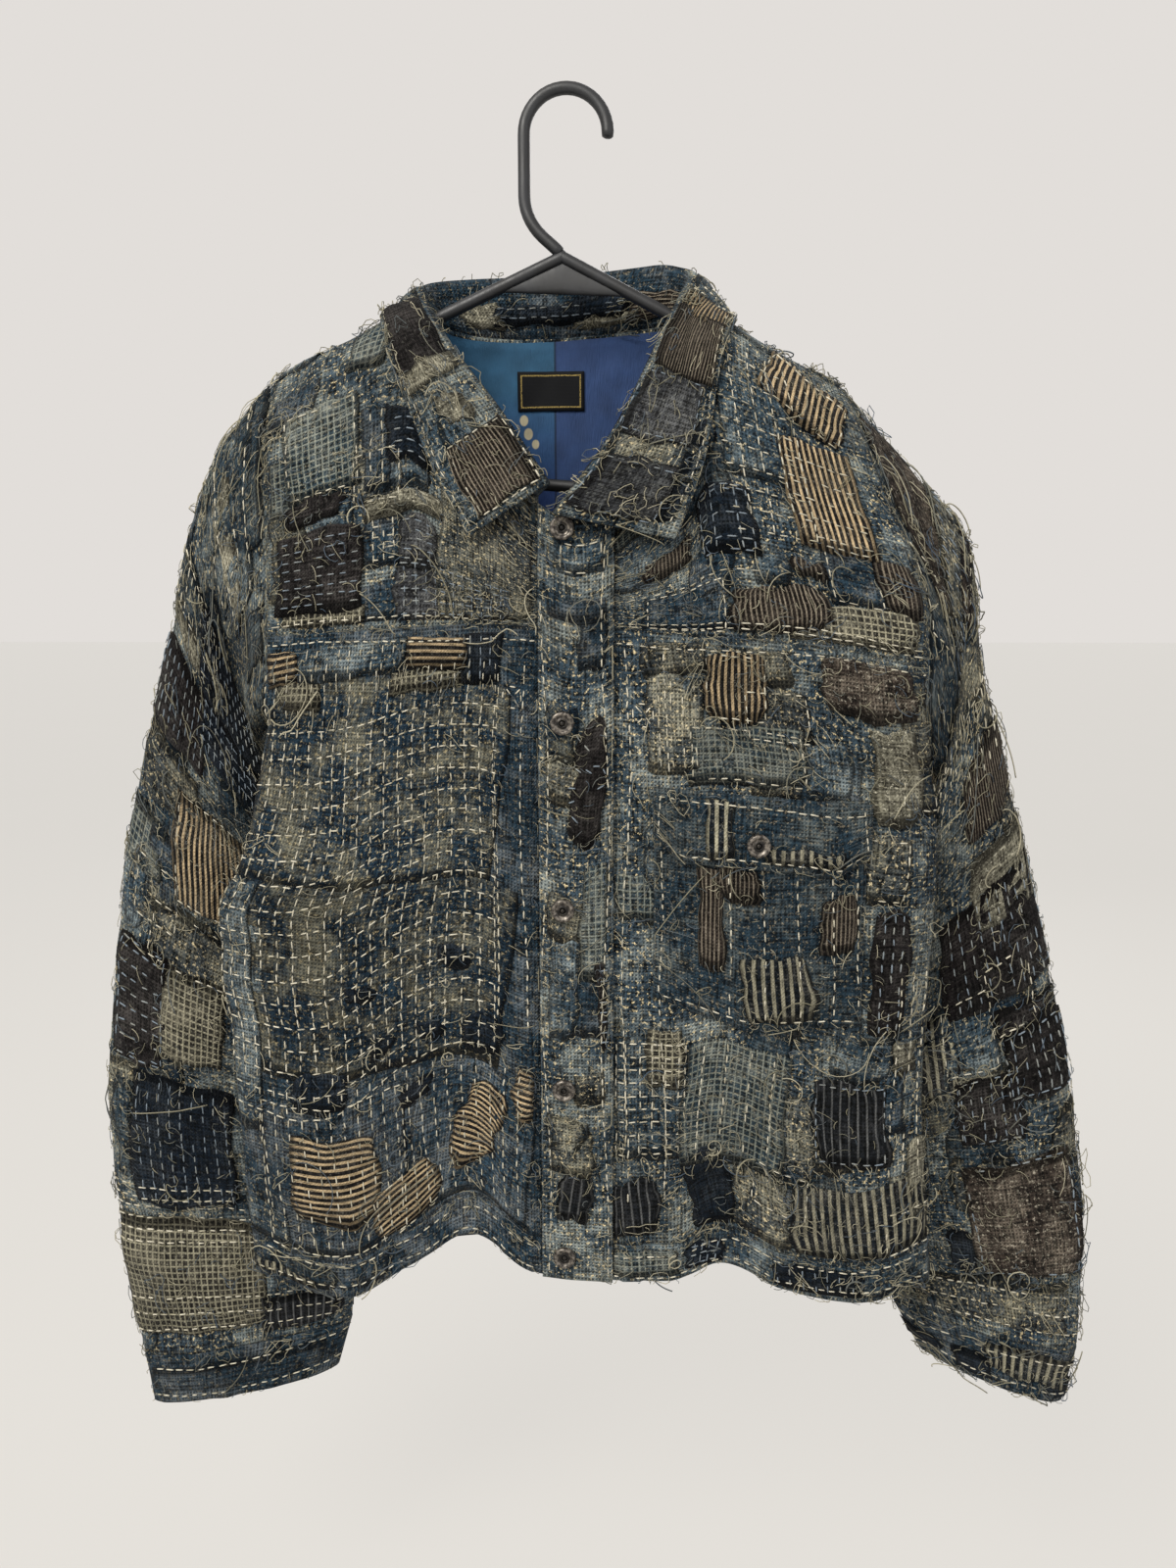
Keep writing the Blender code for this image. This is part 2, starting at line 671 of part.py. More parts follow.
def drawn_back(grid, closed=False):
    """The grid with its border drawn back by half a seam gap, and more at the point under the arm."""
    moved = grid.copy()
    for side, height in UNDERARM.items():
        point = np.array([smooth(height, SIDE[side].z, SIDE[side].x), 0, height]) * MM
        for row, column in np.argwhere(np.abs(grid[..., ::2] - point[::2]).max(axis=-1) < 1e-6):
            towards = grid[min(row + 1, len(grid) - 1), min(max(column, 1), grid.shape[1] - 2)]
            moved[row, column] += NOTCH * unit(towards - grid[row, column])
    for edge, inner in ((0, 1), (-1, -2)):
        moved[edge] += SEAM_GAP / 2 * unit(grid[inner] - grid[edge])
        if not closed:
            moved[:, edge] += SEAM_GAP / 2 * unit(grid[:, inner] - grid[:, edge])
    return moved


def sheet(name, grid, normals, thickness, look, lift=0.0, closed=False, seams=True):
    """A wall of cloth on a grid: outer and inner points, and a border that joins them."""
    moved = drawn_back(grid, closed) if seams else grid
    sides = [moved + normals * (lift + half) for half in (thickness / 2, -thickness / 2)]
    rows, columns = grid.shape[:2]
    index = np.arange(rows * columns).reshape(rows, columns)
    wide = np.concatenate([index, index[:, :1]], axis=1) if closed else index
    below = rows * columns
    a, b, c, d = wide[:-1, :-1], wide[:-1, 1:], wide[1:, 1:], wide[1:, :-1]
    halves = np.stack([a, b, c, a, c, d], axis=-1).reshape(-1, 3)
    faces = halves.tolist() + (halves[:, ::-1] + below).tolist()
    if closed:
        borders = [wide[0], wide[-1][::-1]]
    else:
        borders = [np.concatenate([wide[0], wide[1:, -1], wide[-1, -2::-1], wide[-2::-1, 0]])]
    for border in borders:
        a, b = border[:-1], border[1:]
        faces += np.stack([b, a, a + below, b + below], axis=-1).tolist()
    if (face_normals(grid, closed) * normals).sum() < 0:
        faces = [face[::-1] for face in faces]
    add_object(name, np.concatenate([side.reshape(-1, 3) for side in sides]), faces, look)


def add_object(name, points, faces, look):
    mesh = bpy.data.meshes.new(name)
    mesh.from_pydata([tuple(p) for p in points], [], faces)
    mesh.materials.append(look)
    made = bpy.data.objects.new(name, mesh)
    bpy.context.scene.collection.objects.link(made)


def sample(grid, rows, columns):
    """Points between a grid's points, at fractional rows and columns."""
    r = np.clip(np.floor(rows).astype(int), 0, grid.shape[0] - 2)
    c = np.clip(np.floor(columns).astype(int), 0, grid.shape[1] - 2)
    u, v = (rows - r)[..., None], (columns - c)[..., None]
    low = grid[r, c] * (1 - v) + grid[r, c + 1] * v
    high = grid[r + 1, c] * (1 - v) + grid[r + 1, c + 1] * v
    return low * (1 - u) + high * u


def locate(grid, x, z):
    """Fractional row and column at which a piece's grid passes a point seen from the front."""
    row_numbers, column_numbers = (np.arange(n, dtype=float) for n in grid.shape[:2])
    turn = np.sign(grid[0, -1, 0] - grid[0, 0, 0])
    row = row_numbers[-1] / 2
    for _ in range(SETTLING_STEPS):
        across = sample(grid, np.full(len(column_numbers), row), column_numbers)
        column = np.interp(x * MM * turn, across[:, 0] * turn, column_numbers)
        down = sample(grid, row_numbers, np.full(len(row_numbers), column))
        row = np.interp(z * MM, down[:, 2], row_numbers)
    return row, column


def lay_on(name, panel, corners, lift, thickness, look, foot=None):
    """A sheet laid on a panel between two opposite corners, with points on the panel's own rows and columns.
    A foot, if given, drops its lower edge by so much at shares of its width."""
    grid, normals = panel
    x1, z1, x2, z2 = corners
    row1, column1 = locate(grid, x1, z1)
    row2, column2 = locate(grid, x2, z2)
    rows, columns = between(row1, row2), between(*sorted((column1, column2)))
    drop = np.zeros(len(columns))
    if foot is not None:
        corners = columns[0] + (columns[-1] - columns[0]) * foot.share[1:-1]
        clear = [c for c in columns if np.abs(corners - c).min() > NEAR_LINE]
        columns = np.union1d(clear, corners)
        share = (columns - columns[0]) / (columns[-1] - columns[0])
        per_row = (z2 - z1) / (row2 - row1)
        drop = np.interp(share, foot.share, foot.drop) / per_row
    rows = rows[:, None] - drop * ((rows[-1] - rows) / (rows[-1] - rows[0]))[:, None]
    columns = np.broadcast_to(columns, rows.shape)
    laid, out = sample(grid, rows, columns), unit(sample(normals, rows, columns))
    sheet(name, laid, out, thickness, look, lift=lift, seams=False)


def between(first, last):
    """The two ends, each moved to a whole number if that is near, and the whole numbers between them."""
    first, last = (round(n) if abs(n - round(n)) < NEAR_LINE else n for n in (first, last))
    return np.array([first, *range(int(np.floor(first)) + 1, int(np.ceil(last))), last])


def material(name, colour, roughness, metallic=0.0):
    made = bpy.data.materials.new(name)
    made.use_nodes = True
    made.diffuse_color = (*colour, 1)
    shader = made.node_tree.nodes["Principled BSDF"]
    shader.inputs["Base Color"].default_value = (*colour, 1)
    shader.inputs["Roughness"].default_value = roughness
    shader.inputs["Metallic"].default_value = metallic
    return made


def build_garment(looks):
    """Body, sleeves, cuffs and collar. Returns the grid and the normals of each flat piece."""
    pieces = body_pieces()
    cuffs = {}
    for side in SIDE:
        halves = sleeve_halves(side, pieces)
        cuffs[side] = cuff_rings(side, halves)
        for half, grid in halves.items():
            pieces[f"sleeve_{half}_{side}"] = grid
    net = Net()
    for name, grid in pieces.items():
        net.add(grid, (0, 1 if "back" in name else -1, 0))
    for grid in cuffs.values():
        net.add(grid, grid - grid.mean(axis=1, keepdims=True), closed=True)
    collar, roll = collar_grid(pieces)
    away = (collar - collar[: roll + 1].mean(axis=(0, 1))) * LEVEL
    away[roll:] *= -1
    net.add(collar, away)
    panels = {name: (grid, net.at(grid)) for name, grid in pieces.items()}
    for name, (grid, normals) in panels.items():
        thickness = BAND_CLOTH if name.startswith("hem") else CLOTH
        sheet(name, grid, normals, thickness, looks["cloth"])
    for side, grid in cuffs.items():
        sheet("cuff_" + side, grid, net.at(grid), BAND_CLOTH, looks["band"], closed=True)
    normals = net.at(collar)
    collar[0] += COLLAR_FOOT * unit(collar[1] - collar[0])
    stand = collar[: roll + 1].copy()
    stand[-1] += ROLL_GAP * unit(stand[-2] - stand[-1])
    sheet("collar_stand", stand, normals[: roll + 1], CLOTH, looks["cloth"])
    sheet("collar_fall", collar[roll:], normals[roll:], CLOTH, looks["cloth"])
    return panels


def build_closure(looks):
    """The button stand under the fronts, the buttonhole band over them and the five buttons on it."""
    rows = np.linspace(0, 1, CLOSURE_ROWS)[:, None]
    lift = CLOTH / 2 + BAND_LIFT + BAND_CLOTH / 2
    for name, last, thickness, raised in (
        ("stand_right", FRONT_LEFT_EDGE, CLOTH, 0.0),
        ("band_left", BAND_LEFT_EDGE, BAND_CLOTH, lift),
    ):
        x = BAND_RIGHT_EDGE + (last - BAND_RIGHT_EDGE) * np.linspace(0, 1, CLOSURE_COLUMNS) + 0 * rows
        z = smooth(x, HEM.x, HEM.z)
        z = z + (smooth(x, FRONT_TOP.x, FRONT_TOP.z) - BAND_DROP - z) * rows
        grid = closure_surface(x, z)
        sheet(name, grid, unit(normals_facing(grid, (0, -1, 0))), thickness, looks["band"], lift=raised)
    for number, z in enumerate(BUTTON_HEIGHTS, 1):
        place, normal = point_on(closure_surface, BUTTON_LINE, z)
        back = place + normal * (lift + BAND_CLOTH / 2 + BUTTON_LIFT)
        button(f"button_{number}", back, normal, looks["metal"])


def closure_surface(x, z):
    """The middle surface under the band, level between the two fronts' edges."""
    share = np.clip((x - BAND_RIGHT_EDGE) / (FRONT_LEFT_EDGE - BAND_RIGHT_EDGE), 0, 1)
    right = front_depth("right", np.full_like(x, BAND_RIGHT_EDGE), z)
    left = front_depth("left", np.maximum(x, FRONT_LEFT_EDGE), z)
    return np.stack([x, right + (left - right) * share, z], axis=-1) * MM


def point_on(surface, x, z, step=4.0):
    """A point of a surface and its outward normal, from two small steps."""
    spots = surface(np.array([x, x + step, x, x - step, x]), np.array([z, z, z + step, z, z - step], float))
    normal = np.cross(spots[1] - spots[3], spots[2] - spots[4])
    return spots[0], unit(normal)


def build_pocket(looks, panels):
    """Chest pocket with a pointed foot, the flap over its mouth and the flap's button."""
    look = looks["cloth"]
    lift = CLOTH / 2 + PIECE_LIFT + CLOTH / 2
    lay_on("pocket", panels["front_left"], POCKET, lift, CLOTH, look, foot=POCKET_FOOT)
    above = lift + CLOTH + FLAP_LIFT
    lay_on("pocket_flap", panels["front_left"], FLAP, above, CLOTH, look, foot=FLAP_FOOT)
    grid, normals = panels["front_left"]
    row, column = (np.array([n]) for n in locate(grid, *FLAP_BUTTON))
    place, normal = sample(grid, row, column)[0], unit(sample(normals, row, column))[0]
    button("button_pocket", place + normal * (above + CLOTH / 2 + BUTTON_LIFT), normal, looks["metal"])


def button(name, place, normal, look):
    """A metal ring button, turned from a closed profile: a flat back, a rounded rim and an open centre."""
    radii = BUTTON_PROFILE.radius * BUTTON_DIAMETER / 2
    heights = BUTTON_PROFILE.height * BUTTON_HEIGHT
    angle = np.linspace(0, 2 * np.pi, BUTTON_SIDES, endpoint=False)[:, None]
    across = unit(np.cross(normal, (0, 0, 1.0)))
    spokes = np.cos(angle) * across + np.sin(angle) * np.cross(across, normal)
    made = bmesh.new()
    rings = [
        [made.verts.new(place + normal * height + radius * spoke) for spoke in spokes]
        for radius, height in zip(radii, heights)
    ]
    for ring, after in zip(rings, rings[1:] + rings[:1]):
        for i in range(BUTTON_SIDES):
            j = (i + 1) % BUTTON_SIDES
            made.faces.new((ring[i], ring[j], after[j], after[i]))
    bmesh.ops.recalc_face_normals(made, faces=made.faces)
    mesh = bpy.data.meshes.new(name)
    made.to_mesh(mesh)
    made.free()
    mesh.materials.append(look)
    mesh.shade_smooth()
    bpy.context.scene.collection.objects.link(bpy.data.objects.new(name, mesh))


def build_lining(looks, panels):
    """Blue lining inside the back neck, on the back yoke's inner face, and the woven label on it."""
    lining = -(CLOTH / 2 + LAY_GAP + LINING_CLOTH / 2)
    label = lining - (LINING_CLOTH / 2 + LAY_GAP + LABEL_CLOTH / 2)
    lay_on("lining_neck", panels["yoke_back"], LINING, lining, LINING_CLOTH, looks["lining"])
    lay_on("label", panels["yoke_back"], LABEL, label, LABEL_CLOTH, looks["label"])


def build_patches(looks, panels):
    """The thickest sewn-on patches, each a sheet on its panel."""
    lift = CLOTH / 2 + PIECE_LIFT + PATCH_CLOTH / 2
    for name, panel, *corners in PATCHES:
        lay_on("patch_" + name, panels[panel], corners, lift, PATCH_CLOTH, looks["patch"])


def tube(name, path, look):
    """A round bar along a path: a poly curve with a bevel and filled caps."""
    curve = bpy.data.curves.new(name, "CURVE")
    curve.dimensions = "3D"
    curve.bevel_depth = TUBE / 2
    curve.bevel_resolution = 3
    curve.use_fill_caps = True
    line = curve.splines.new("POLY")
    line.points.add(len(path) - 1)
    for point, (x, z) in zip(line.points, path):
        point.co = (x * MM, 0, z * MM, 1)
    curve.materials.append(look)
    bpy.context.scene.collection.objects.link(bpy.data.objects.new(name, curve))


def arc(centre, radius, start, stop, count):
    angle = np.radians(np.linspace(start, stop, count))
    return [(centre[0] + radius * np.cos(a), centre[1] + radius * np.sin(a)) for a in angle]


def bend(a, b, c, count=5):
    """A rounded corner: a quadratic curve from a to c that starts towards b."""
    a, b, c = (np.array(p, float) for p in (a, b, c))
    return [tuple((1 - t) ** 2 * a + 2 * t * (1 - t) * b + t * t * c) for t in np.linspace(0, 1, count)]


def build_hanger(looks):
    """Hook, two arms, bottom bar and the web under the neck. It hangs a little lower on the left."""
    look = looks["plastic"]
    hook = arc((2, -23), 27, -8, 180, 13) + bend((-25, -60), (-25, -74), (-14, -85)) + [(-4.0, -93.3)]
    tube("hanger_hook", hook, look)
    right = [(-1.95, -99.1), (-91, -139.0), (-150, -162.4)]
    right += bend((-172, -170.5), (-188, -177), (-192, -190))
    left = [(2, -99.6), (88, -145.2), (146, -172.2)] + bend((164, -180), (181, -188), (184.5, -203))
    tube("hanger_arm_right", right, look)
    tube("hanger_arm_left", left, look)
    bar = bend((-192.35, -191.2), (-203, -226), (-168, -231), 6) + [(-60, -239), (60, -248)]
    bar += bend((162, -256), (197, -254), (184.65, -203.9), 6)
    tube("hanger_bar", bar, look)
    outline = [(-14, -109.3), (14, -111), (37, -123.3), (-37, -119.3)]
    points = [(x * MM, y, z * MM) for y in (-WEB / 2, WEB / 2) for x, z in outline]
    faces = [[3, 2, 1, 0], [4, 5, 6, 7], [5, 4, 0, 1], [6, 5, 1, 2], [7, 6, 2, 3], [4, 7, 3, 0]]
    add_object("hanger_web", points, faces, look)


def main():
    for made in list(bpy.data.objects):
        bpy.data.objects.remove(made)
    looks = {
        "cloth": material("indigo boro cloth", (0.045, 0.07, 0.1), 0.92),
        "band": material("indigo band cloth", (0.035, 0.055, 0.085), 0.92),
        "patch": material("brown patch cloth", (0.05, 0.035, 0.025), 0.93),
        "lining": material("blue cotton lining", (0.025, 0.05, 0.22), 0.7),
        "label": material("black woven label", (0.01, 0.01, 0.01), 0.8),
        "metal": material("antique brass", (0.08, 0.055, 0.04), 0.45, 0.9),
        "plastic": material("black moulded plastic", (0.012, 0.012, 0.014), 0.4),
    }
    panels = build_garment(looks)
    build_closure(looks)
    build_pocket(looks, panels)
    build_lining(looks, panels)
    build_patches(looks, panels)
    build_hanger(looks)


main()
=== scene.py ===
# Patched boro jacket on a plastic hanger. Lengths in the tables are millimetres, seen from the front:
# x to the wearer's left, y backwards, z up, from the top inside of the hook.
from functools import partial
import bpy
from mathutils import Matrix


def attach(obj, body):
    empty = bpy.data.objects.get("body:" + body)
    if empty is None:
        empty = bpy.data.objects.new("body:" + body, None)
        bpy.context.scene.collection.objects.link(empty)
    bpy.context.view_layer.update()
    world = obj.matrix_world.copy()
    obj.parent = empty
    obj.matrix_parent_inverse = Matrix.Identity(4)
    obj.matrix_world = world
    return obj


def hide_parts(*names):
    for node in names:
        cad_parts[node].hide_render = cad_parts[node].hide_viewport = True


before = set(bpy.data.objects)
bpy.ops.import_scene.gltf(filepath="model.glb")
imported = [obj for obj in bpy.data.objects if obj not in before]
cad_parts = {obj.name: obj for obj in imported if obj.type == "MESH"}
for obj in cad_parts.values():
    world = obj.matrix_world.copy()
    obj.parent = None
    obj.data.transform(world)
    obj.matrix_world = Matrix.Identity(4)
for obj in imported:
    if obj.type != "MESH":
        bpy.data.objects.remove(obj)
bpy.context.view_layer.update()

from types import SimpleNamespace

import bpy
import numpy as np

mm = 0.001
print("frame loaded:", len(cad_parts), "solids")


def rowsOf(text):
    # rows of numbers and words, from a text with a comma between rows
    return [tuple(float(k) if k[-1].isdigit() else k for k in row.split()) for row in text.split(",")]


def table(columns, text):
    # one array for each named column
    return SimpleNamespace(**dict(zip(columns.split(), np.array(rowsOf(text)).T)))


def smooth(at, knots, values):
    # cubic through the knots, its slopes the harmonic means of its neighbours, so it never overshoots
    step = np.diff(knots)
    rise = np.diff(values) / step
    product, total = rise[:-1] * rise[1:], rise[:-1] + rise[1:]
    inner = np.where(product > 0, 2 * product / np.where(total == 0, 1, total), 0)
    slope = np.concatenate([rise[:1], inner, rise[-1:]])
    i = np.clip(np.searchsorted(knots, at, side="right") - 1, 0, len(step) - 1)
    t = np.clip((at - knots[i]) / step[i], 0, 1)
    return (
        (1 + 2 * t) * (1 - t) ** 2 * values[i]
        + t * (1 - t) ** 2 * step[i] * slope[i]
        + t * t * (3 - 2 * t) * values[i + 1]
        + t * t * (t - 1) * step[i] * slope[i + 1]
    )


def curve(line, at, key):
    # a table's column where its first column has the value at
    return smooth(at, next(iter(vars(line).values())), getattr(line, key))


def together(*parts):
    # coordinates side by side, in a last axis of their own
    return np.stack(parts, axis=-1)


def unit(vectors):
    # each vector divided by its length
    return vectors / np.maximum(np.linalg.norm(vectors, axis=-1, keepdims=True), 1e-12)


def lineRidges(u, v, folds, vScale=1.0):
    # sum of bells: each fold's height falls off as exp(-(distance / width)^2) from its line, and fades at its ends
    height = np.zeros(np.shape(u))
    for u1, v1, u2, v2, width, rise in zip(*vars(folds).values()):
        along = np.array([u2 - u1, (v2 - v1) * vScale])
        du, dv = u - u1, (v - v1) * vScale
        t = np.clip((du * along[0] + dv * along[1]) / (along @ along), 0, 1)
        off = np.hypot(du - t * along[0], dv - t * along[1])
        height = height + rise * np.exp(-((off / width) ** 2)) * (0.55 + 0.45 * np.sin(np.pi * t))
    return height


# Side edge of each half, hem to shoulder: the side seam, and above the underarm the two armhole edges.
sideEdges = {
    "right": table("z x front back", """
    -830 -221 -24 -24, -792 -222 -25 -25, -700 -227 -27 -27, -617 -228 -27 -27, -575 -233 -28 -28,
    -532 -234 -28 -28, -497 -220 -25 -25, -443 -207 -19 -19, -418 -204 -12 -12, -402 -203 0 0, -392 -200 -20 18,
    -375 -196 -33 28, -345 -190 -42 33, -290 -187 -43 35, -240 -189 -38 32, -205 -188 -28 24, -170.8 -188 -14 12
"""),
    "left": table("z x front back", """
    -830 257 -24 -24, -786 256 -25 -25, -713 249 -27 -27, -640 245 -27 -27, -573 246 -28 -28, -530 248 -29 -29,
    -490 249 -27 -27, -450 248 -16 -16, -430 246 -4 -4, -419 243 -24 14, -400 237 -36 25, -370 233 -44 32,
    -333 232 -46 34, -302 223 -45 34, -277 214 -43 33, -239 198 -38 30, -215 190 -28 24, -181.8 180 -14 12
"""),
}
underarm = {"right": -402.0, "left": -430.0}

# Depth of the front and back where they are fullest.
fullDepth = table("z front back", """
    -830 -47 33, -700 -51 37, -600 -54 40, -450 -57 42, -340 -56 42, -250 -53 38, -130 -50 34
""")

# Top edge from shoulder to shoulder: the shoulder seams lie on the hanger, the neckline drops between them.
frontTop = table("x y z", """
    -188 0 -170.8, -140 0 -151.6, -92 0 -132.4, -80 -19 -148, -62 -37 -182, -38 -49 -222, -11 -55 -257,
    12 -56 -266, 31 -55 -262, 52 -49 -236, 70 -35 -196, 80 -19 -158, 90 0 -138.8, 135 0 -160.2, 180 0 -181.8
""")
backTop = table("x y z", """
    -188 0 -170.8, -140 0 -151.6, -92 0 -132.4, -78 17 -138, -58 27 -141, -30 32 -142, 0 33 -141, 30 32 -139,
    56 27 -137, 77 17 -136, 90 0 -138.8, 135 0 -160.2, 180 0 -181.8
""")
shoulder = {"right": -188.0, "left": 180.0}
neckPoint = {"right": -92.0, "left": 90.0}
archReach = 62.0  # how far below the top edge the cloth reaches its full depth
roundness = dict(arch=2.4, front=2.6, back=2.4, sleeve=0.85)  # powers of the superellipses below

# Horizontal seams across the body.
hemLine = table("x z", """
    -222 -792, -190 -797, -152 -803, -104 -776, -62 -754, -12 -779, 33 -782, 74 -782, 110 -769, 155 -785,
    205 -796, 244 -786
""")
backHemLine = table("x z", "-222 -792, -150 -784, -60 -790, 40 -778, 150 -790, 244 -786")
yokeSeam = table("x z", """
    -186 -343, -107 -338, -44 -335, -11 -337, 31 -338, 81 -342, 155 -348, 226 -361
""")
backYokeSeam = table("x z", "-186 -343, -60 -346, 20 -350, 110 -352, 226 -361")

# Sleeve sections below the armhole: the outer edge, the inner edge, and the depth before and behind them.
sleeveSections = {
    "right": table("w ox oy oz ix iy iz front back", """
    .05 -203 -4 -189 -213 5 -409 42 32, .13 -226 -7 -221 -220 15 -424 39 30,
    .22 -246 -8 -268 -213 24 -444 37 28, .32 -263 -7 -330 -197 27 -485 35 27,
    .43 -284 -6 -402 -180 23 -535 33 27, .54 -305 -5 -480 -173 24 -592 32 26,
    .66 -323 -3 -585 -168 24 -660 31 25, .78 -334 -1 -690 -165 22 -728 30 24,
    .89 -330 0 -790 -163 19 -797 27 22, 1 -320 2 -878 -166 16 -857 24 20
"""),
    "left": table("w ox oy oz ix iy iz front back", """
    .05 200 -4 -208 256 2 -437 40 32, .13 228 -7 -242 262 13 -452 38 30, .22 263 -8 -285 258 24 -470 37 28,
    .32 272 -7 -350 240 27 -506 35 27, .43 290 -6 -412 219 25 -546 33 27, .54 309 -5 -480 205 27 -596 32 26,
    .66 336 -3 -583 199 27 -656 31 25, .78 357 -1 -680 204 24 -716 30 24, .89 369 0 -775 218 20 -776 27 22,
    1 370 2 -850 241 16 -826 24 20
"""),
}
cuffEnds = {
    "right": dict(ox=-316, oy=3, oz=-920, ix=-177, iy=14, iz=-896, front=21, back=18),
    "left": dict(ox=362, oy=3, oz=-893, ix=262, iy=14, iz=-864, front=21, back=18),
}
innerThinning = 0.3  # the sleeve is thinner towards its inner edge, where it lies behind the body
blendShare = 0.34  # share of the sleeve over which its section turns from the armhole's into an oval
degreesPerSleeve = 900  # how many degrees round a sleeve measure as much as its length

# Collar: the line where it rolls over and the fall's outer edge, from right front round to left front.
rollLine = table("c x y z", """
    -1 -4 -64 -250, -.82 -34 -56 -206, -.62 -70 -36 -158, -.45 -92 -3 -117, -.25 -62 24 -105, 0 0 33 -101,
    .25 60 24 -98, .45 82 -3 -112, .62 66 -36 -152, .82 36 -58 -216, 1 -2 -66 -268
""")
fallEdge = table("c x y z", """
    -1 -54 -67 -281, -.82 -80 -60 -232, -.62 -104 -38 -170, -.45 -116 4 -134, -.25 -78 50 -158, 0 0 56 -164,
    .25 76 50 -158, .45 112 4 -140, .62 102 -38 -166, .82 92 -62 -232, 1 74 -68 -284
""")

# Largest folds: soft ridges (+) and troughs (-) from one point to another of a panel.
frontFolds = table("x1 z1 x2 z2 width rise", """
    -190 -440 -110 -520 34 -6, -232 -540 -150 -470 26 6, -95 -470 -40 -620 30 5, -150 -600 -60 -760 30 -6,
    -190 -620 -165 -800 26 6, -70 -640 -60 -760 20 -5, 70 -640 112 -780 26 -6, 205 -470 262 -510 24 7,
    225 -560 215 -780 26 5, 150 -640 165 -790 24 4, -150 -215 -170 -330 26 -4, 150 -220 205 -330 26 -4,
    60 -300 150 -270 24 3
""")
backFolds = table("x1 z1 x2 z2 width rise", """
    -60 -380 -90 -760 34 6, 40 -400 20 -780 40 -6, 120 -420 150 -780 34 6, -140 -420 -165 -760 30 -5,
    -150 -230 -120 -330 30 4, 150 -250 120 -340 30 4
""")
# Sleeve folds by share of the length and angle from the outer edge: 0 to 180 in front, 180 to 360 behind.
sleeveFolds = table("w1 angle1 w2 angle2 width rise", """
    .1 150 .26 60 .045 -5, .3 160 .44 40 .05 5, .48 150 .6 30 .045 -5, .62 40 .72 150 .05 5,
    .76 150 .9 60 .045 -4, .2 210 .34 320 .05 5, .46 200 .62 330 .05 -5, .74 220 .88 310 .045 4
""")

# how a panel's rows and columns are shared out, as in the solids
bodyCut = dict(
    rightBandEdge=-12.0,
    leftBandEdge=36.0,
    leftFrontEdge=31.0,
    hemBand=27.0,
    pleat={"right": (0.86, 0.975), "left": (0.885, 0.955)},
    pleatTurn=0.012,
    pleatRise=2.0,
    bodyRows=12,
    armholeRows=np.array([0.0, 0.08, 0.3, 1.0]),
    yokeRows=np.array([0, 0.17, 0.34, 0.52, 0.69, 0.83, 0.93, 0.982, 1.0]),
    shoulderColumns=np.array([0, 0.055, 0.165, 0.367, 0.65, 1.0]),
    backNeckColumns=np.array([0.09, 0.2, 0.34, 0.5, 0.66, 0.8, 0.91]),
    frontNeckColumns=np.array([0.1, 0.24, 0.48, 0.76]),
)
collarCut = dict(
    fall=table("share out", "0 0, 0.01 3.3, 0.12 4.6, 0.3 4.6, 0.52 3.2, 0.78 1.4, 1 0"),
    turn=0.45,
    clear=4.2,
)


def sideEdge(side, z):
    # the side edge's x, and its depth in front and behind, at a height
    edge = sideEdges[side]
    return curve(edge, z, "x"), curve(edge, z, "front"), curve(edge, z, "back")


def rounded(share, power):
    # a quarter of a superellipse: rises steeply from 0 and levels out at 1
    return (1 - (1 - share) ** power) ** (1 / power)


def arch(drop):
    # a superellipse from 0 at the top edge to 1 where the cloth reaches its full depth
    reached = 1 - np.clip(drop / archReach, 0, 1)
    return (1 - reached ** roundness["arch"]) ** (1 / roundness["arch"])


def centreOf(side):
    # x of the edge in the middle of the front that a half ends at
    return bodyCut["rightBandEdge"] if side == "right" else bodyCut["leftFrontEdge"]


def frontDepth(side, x, z):
    # from the side seam the depth rounds off to the fullest, with the pleat, the folds and the arch under the top
    xSide, ySide, _ = sideEdge(side, z)
    share = np.clip((x - xSide) / (centreOf(side) - xSide), 0, 1)
    body = ySide + (curve(fullDepth, z, "front") - ySide) * rounded(share, roundness["front"])
    first, last = bodyCut["pleat"][side]
    turn = bodyCut["pleatTurn"]
    pleat = np.clip((share - first) / turn, 0, 1) * np.clip((last - share) / turn, 0, 1)
    body = body - bodyCut["pleatRise"] * pleat * (z < curve(yokeSeam, x, "z") - 1)
    body = body - lineRidges(x, z, frontFolds) * np.clip(share * 6, 0, 1)
    yTop, zTop = curve(frontTop, x, "y"), curve(frontTop, x, "z")
    return yTop + (body - yTop) * arch(zTop - z)


def backDepth(x, z):
    # the same behind, drawn in at the sides below the arms
    xRight, _, yRight = sideEdge("right", z)
    xLeft, _, yLeft = sideEdge("left", z)
    share = np.clip((x - xRight) / (xLeft - xRight), 0, 1)
    near = np.minimum(share, 1 - share) * 2
    ySide = np.where(share < 0.5, yRight, yLeft)
    drawnIn = near**2 * (3 - 2 * near)
    above = np.clip((z + 425) / 50, 0, 1)
    level = drawnIn + (rounded(near, roundness["back"]) - drawnIn) * above
    body = ySide + (curve(fullDepth, z, "back") - ySide) * level
    body = body + lineRidges(x, z, backFolds) * np.clip(near * 3, 0, 1)
    yTop, zTop = curve(backTop, x, "y"), curve(backTop, x, "z")
    return yTop + (body - yTop) * arch(zTop - z)


# about how long the refined rows and columns are, in mm
lengths = dict(front=225, back=440, rows=430, yoke=190, cuff=43, stand=26, fall=66, sleeve=700.0)


def refined(shares, length, step, like=None):
    # even shares put inside each interval, and each one's place among the shares it started from
    counts = np.maximum(1, np.ceil(np.diff(shares if like is None else like) * length / step)).astype(int)
    places = np.concatenate([i + np.arange(n) / n for i, n in enumerate(counts)] + [[len(shares) - 1]])
    return np.interp(places, np.arange(len(shares)), shares), places


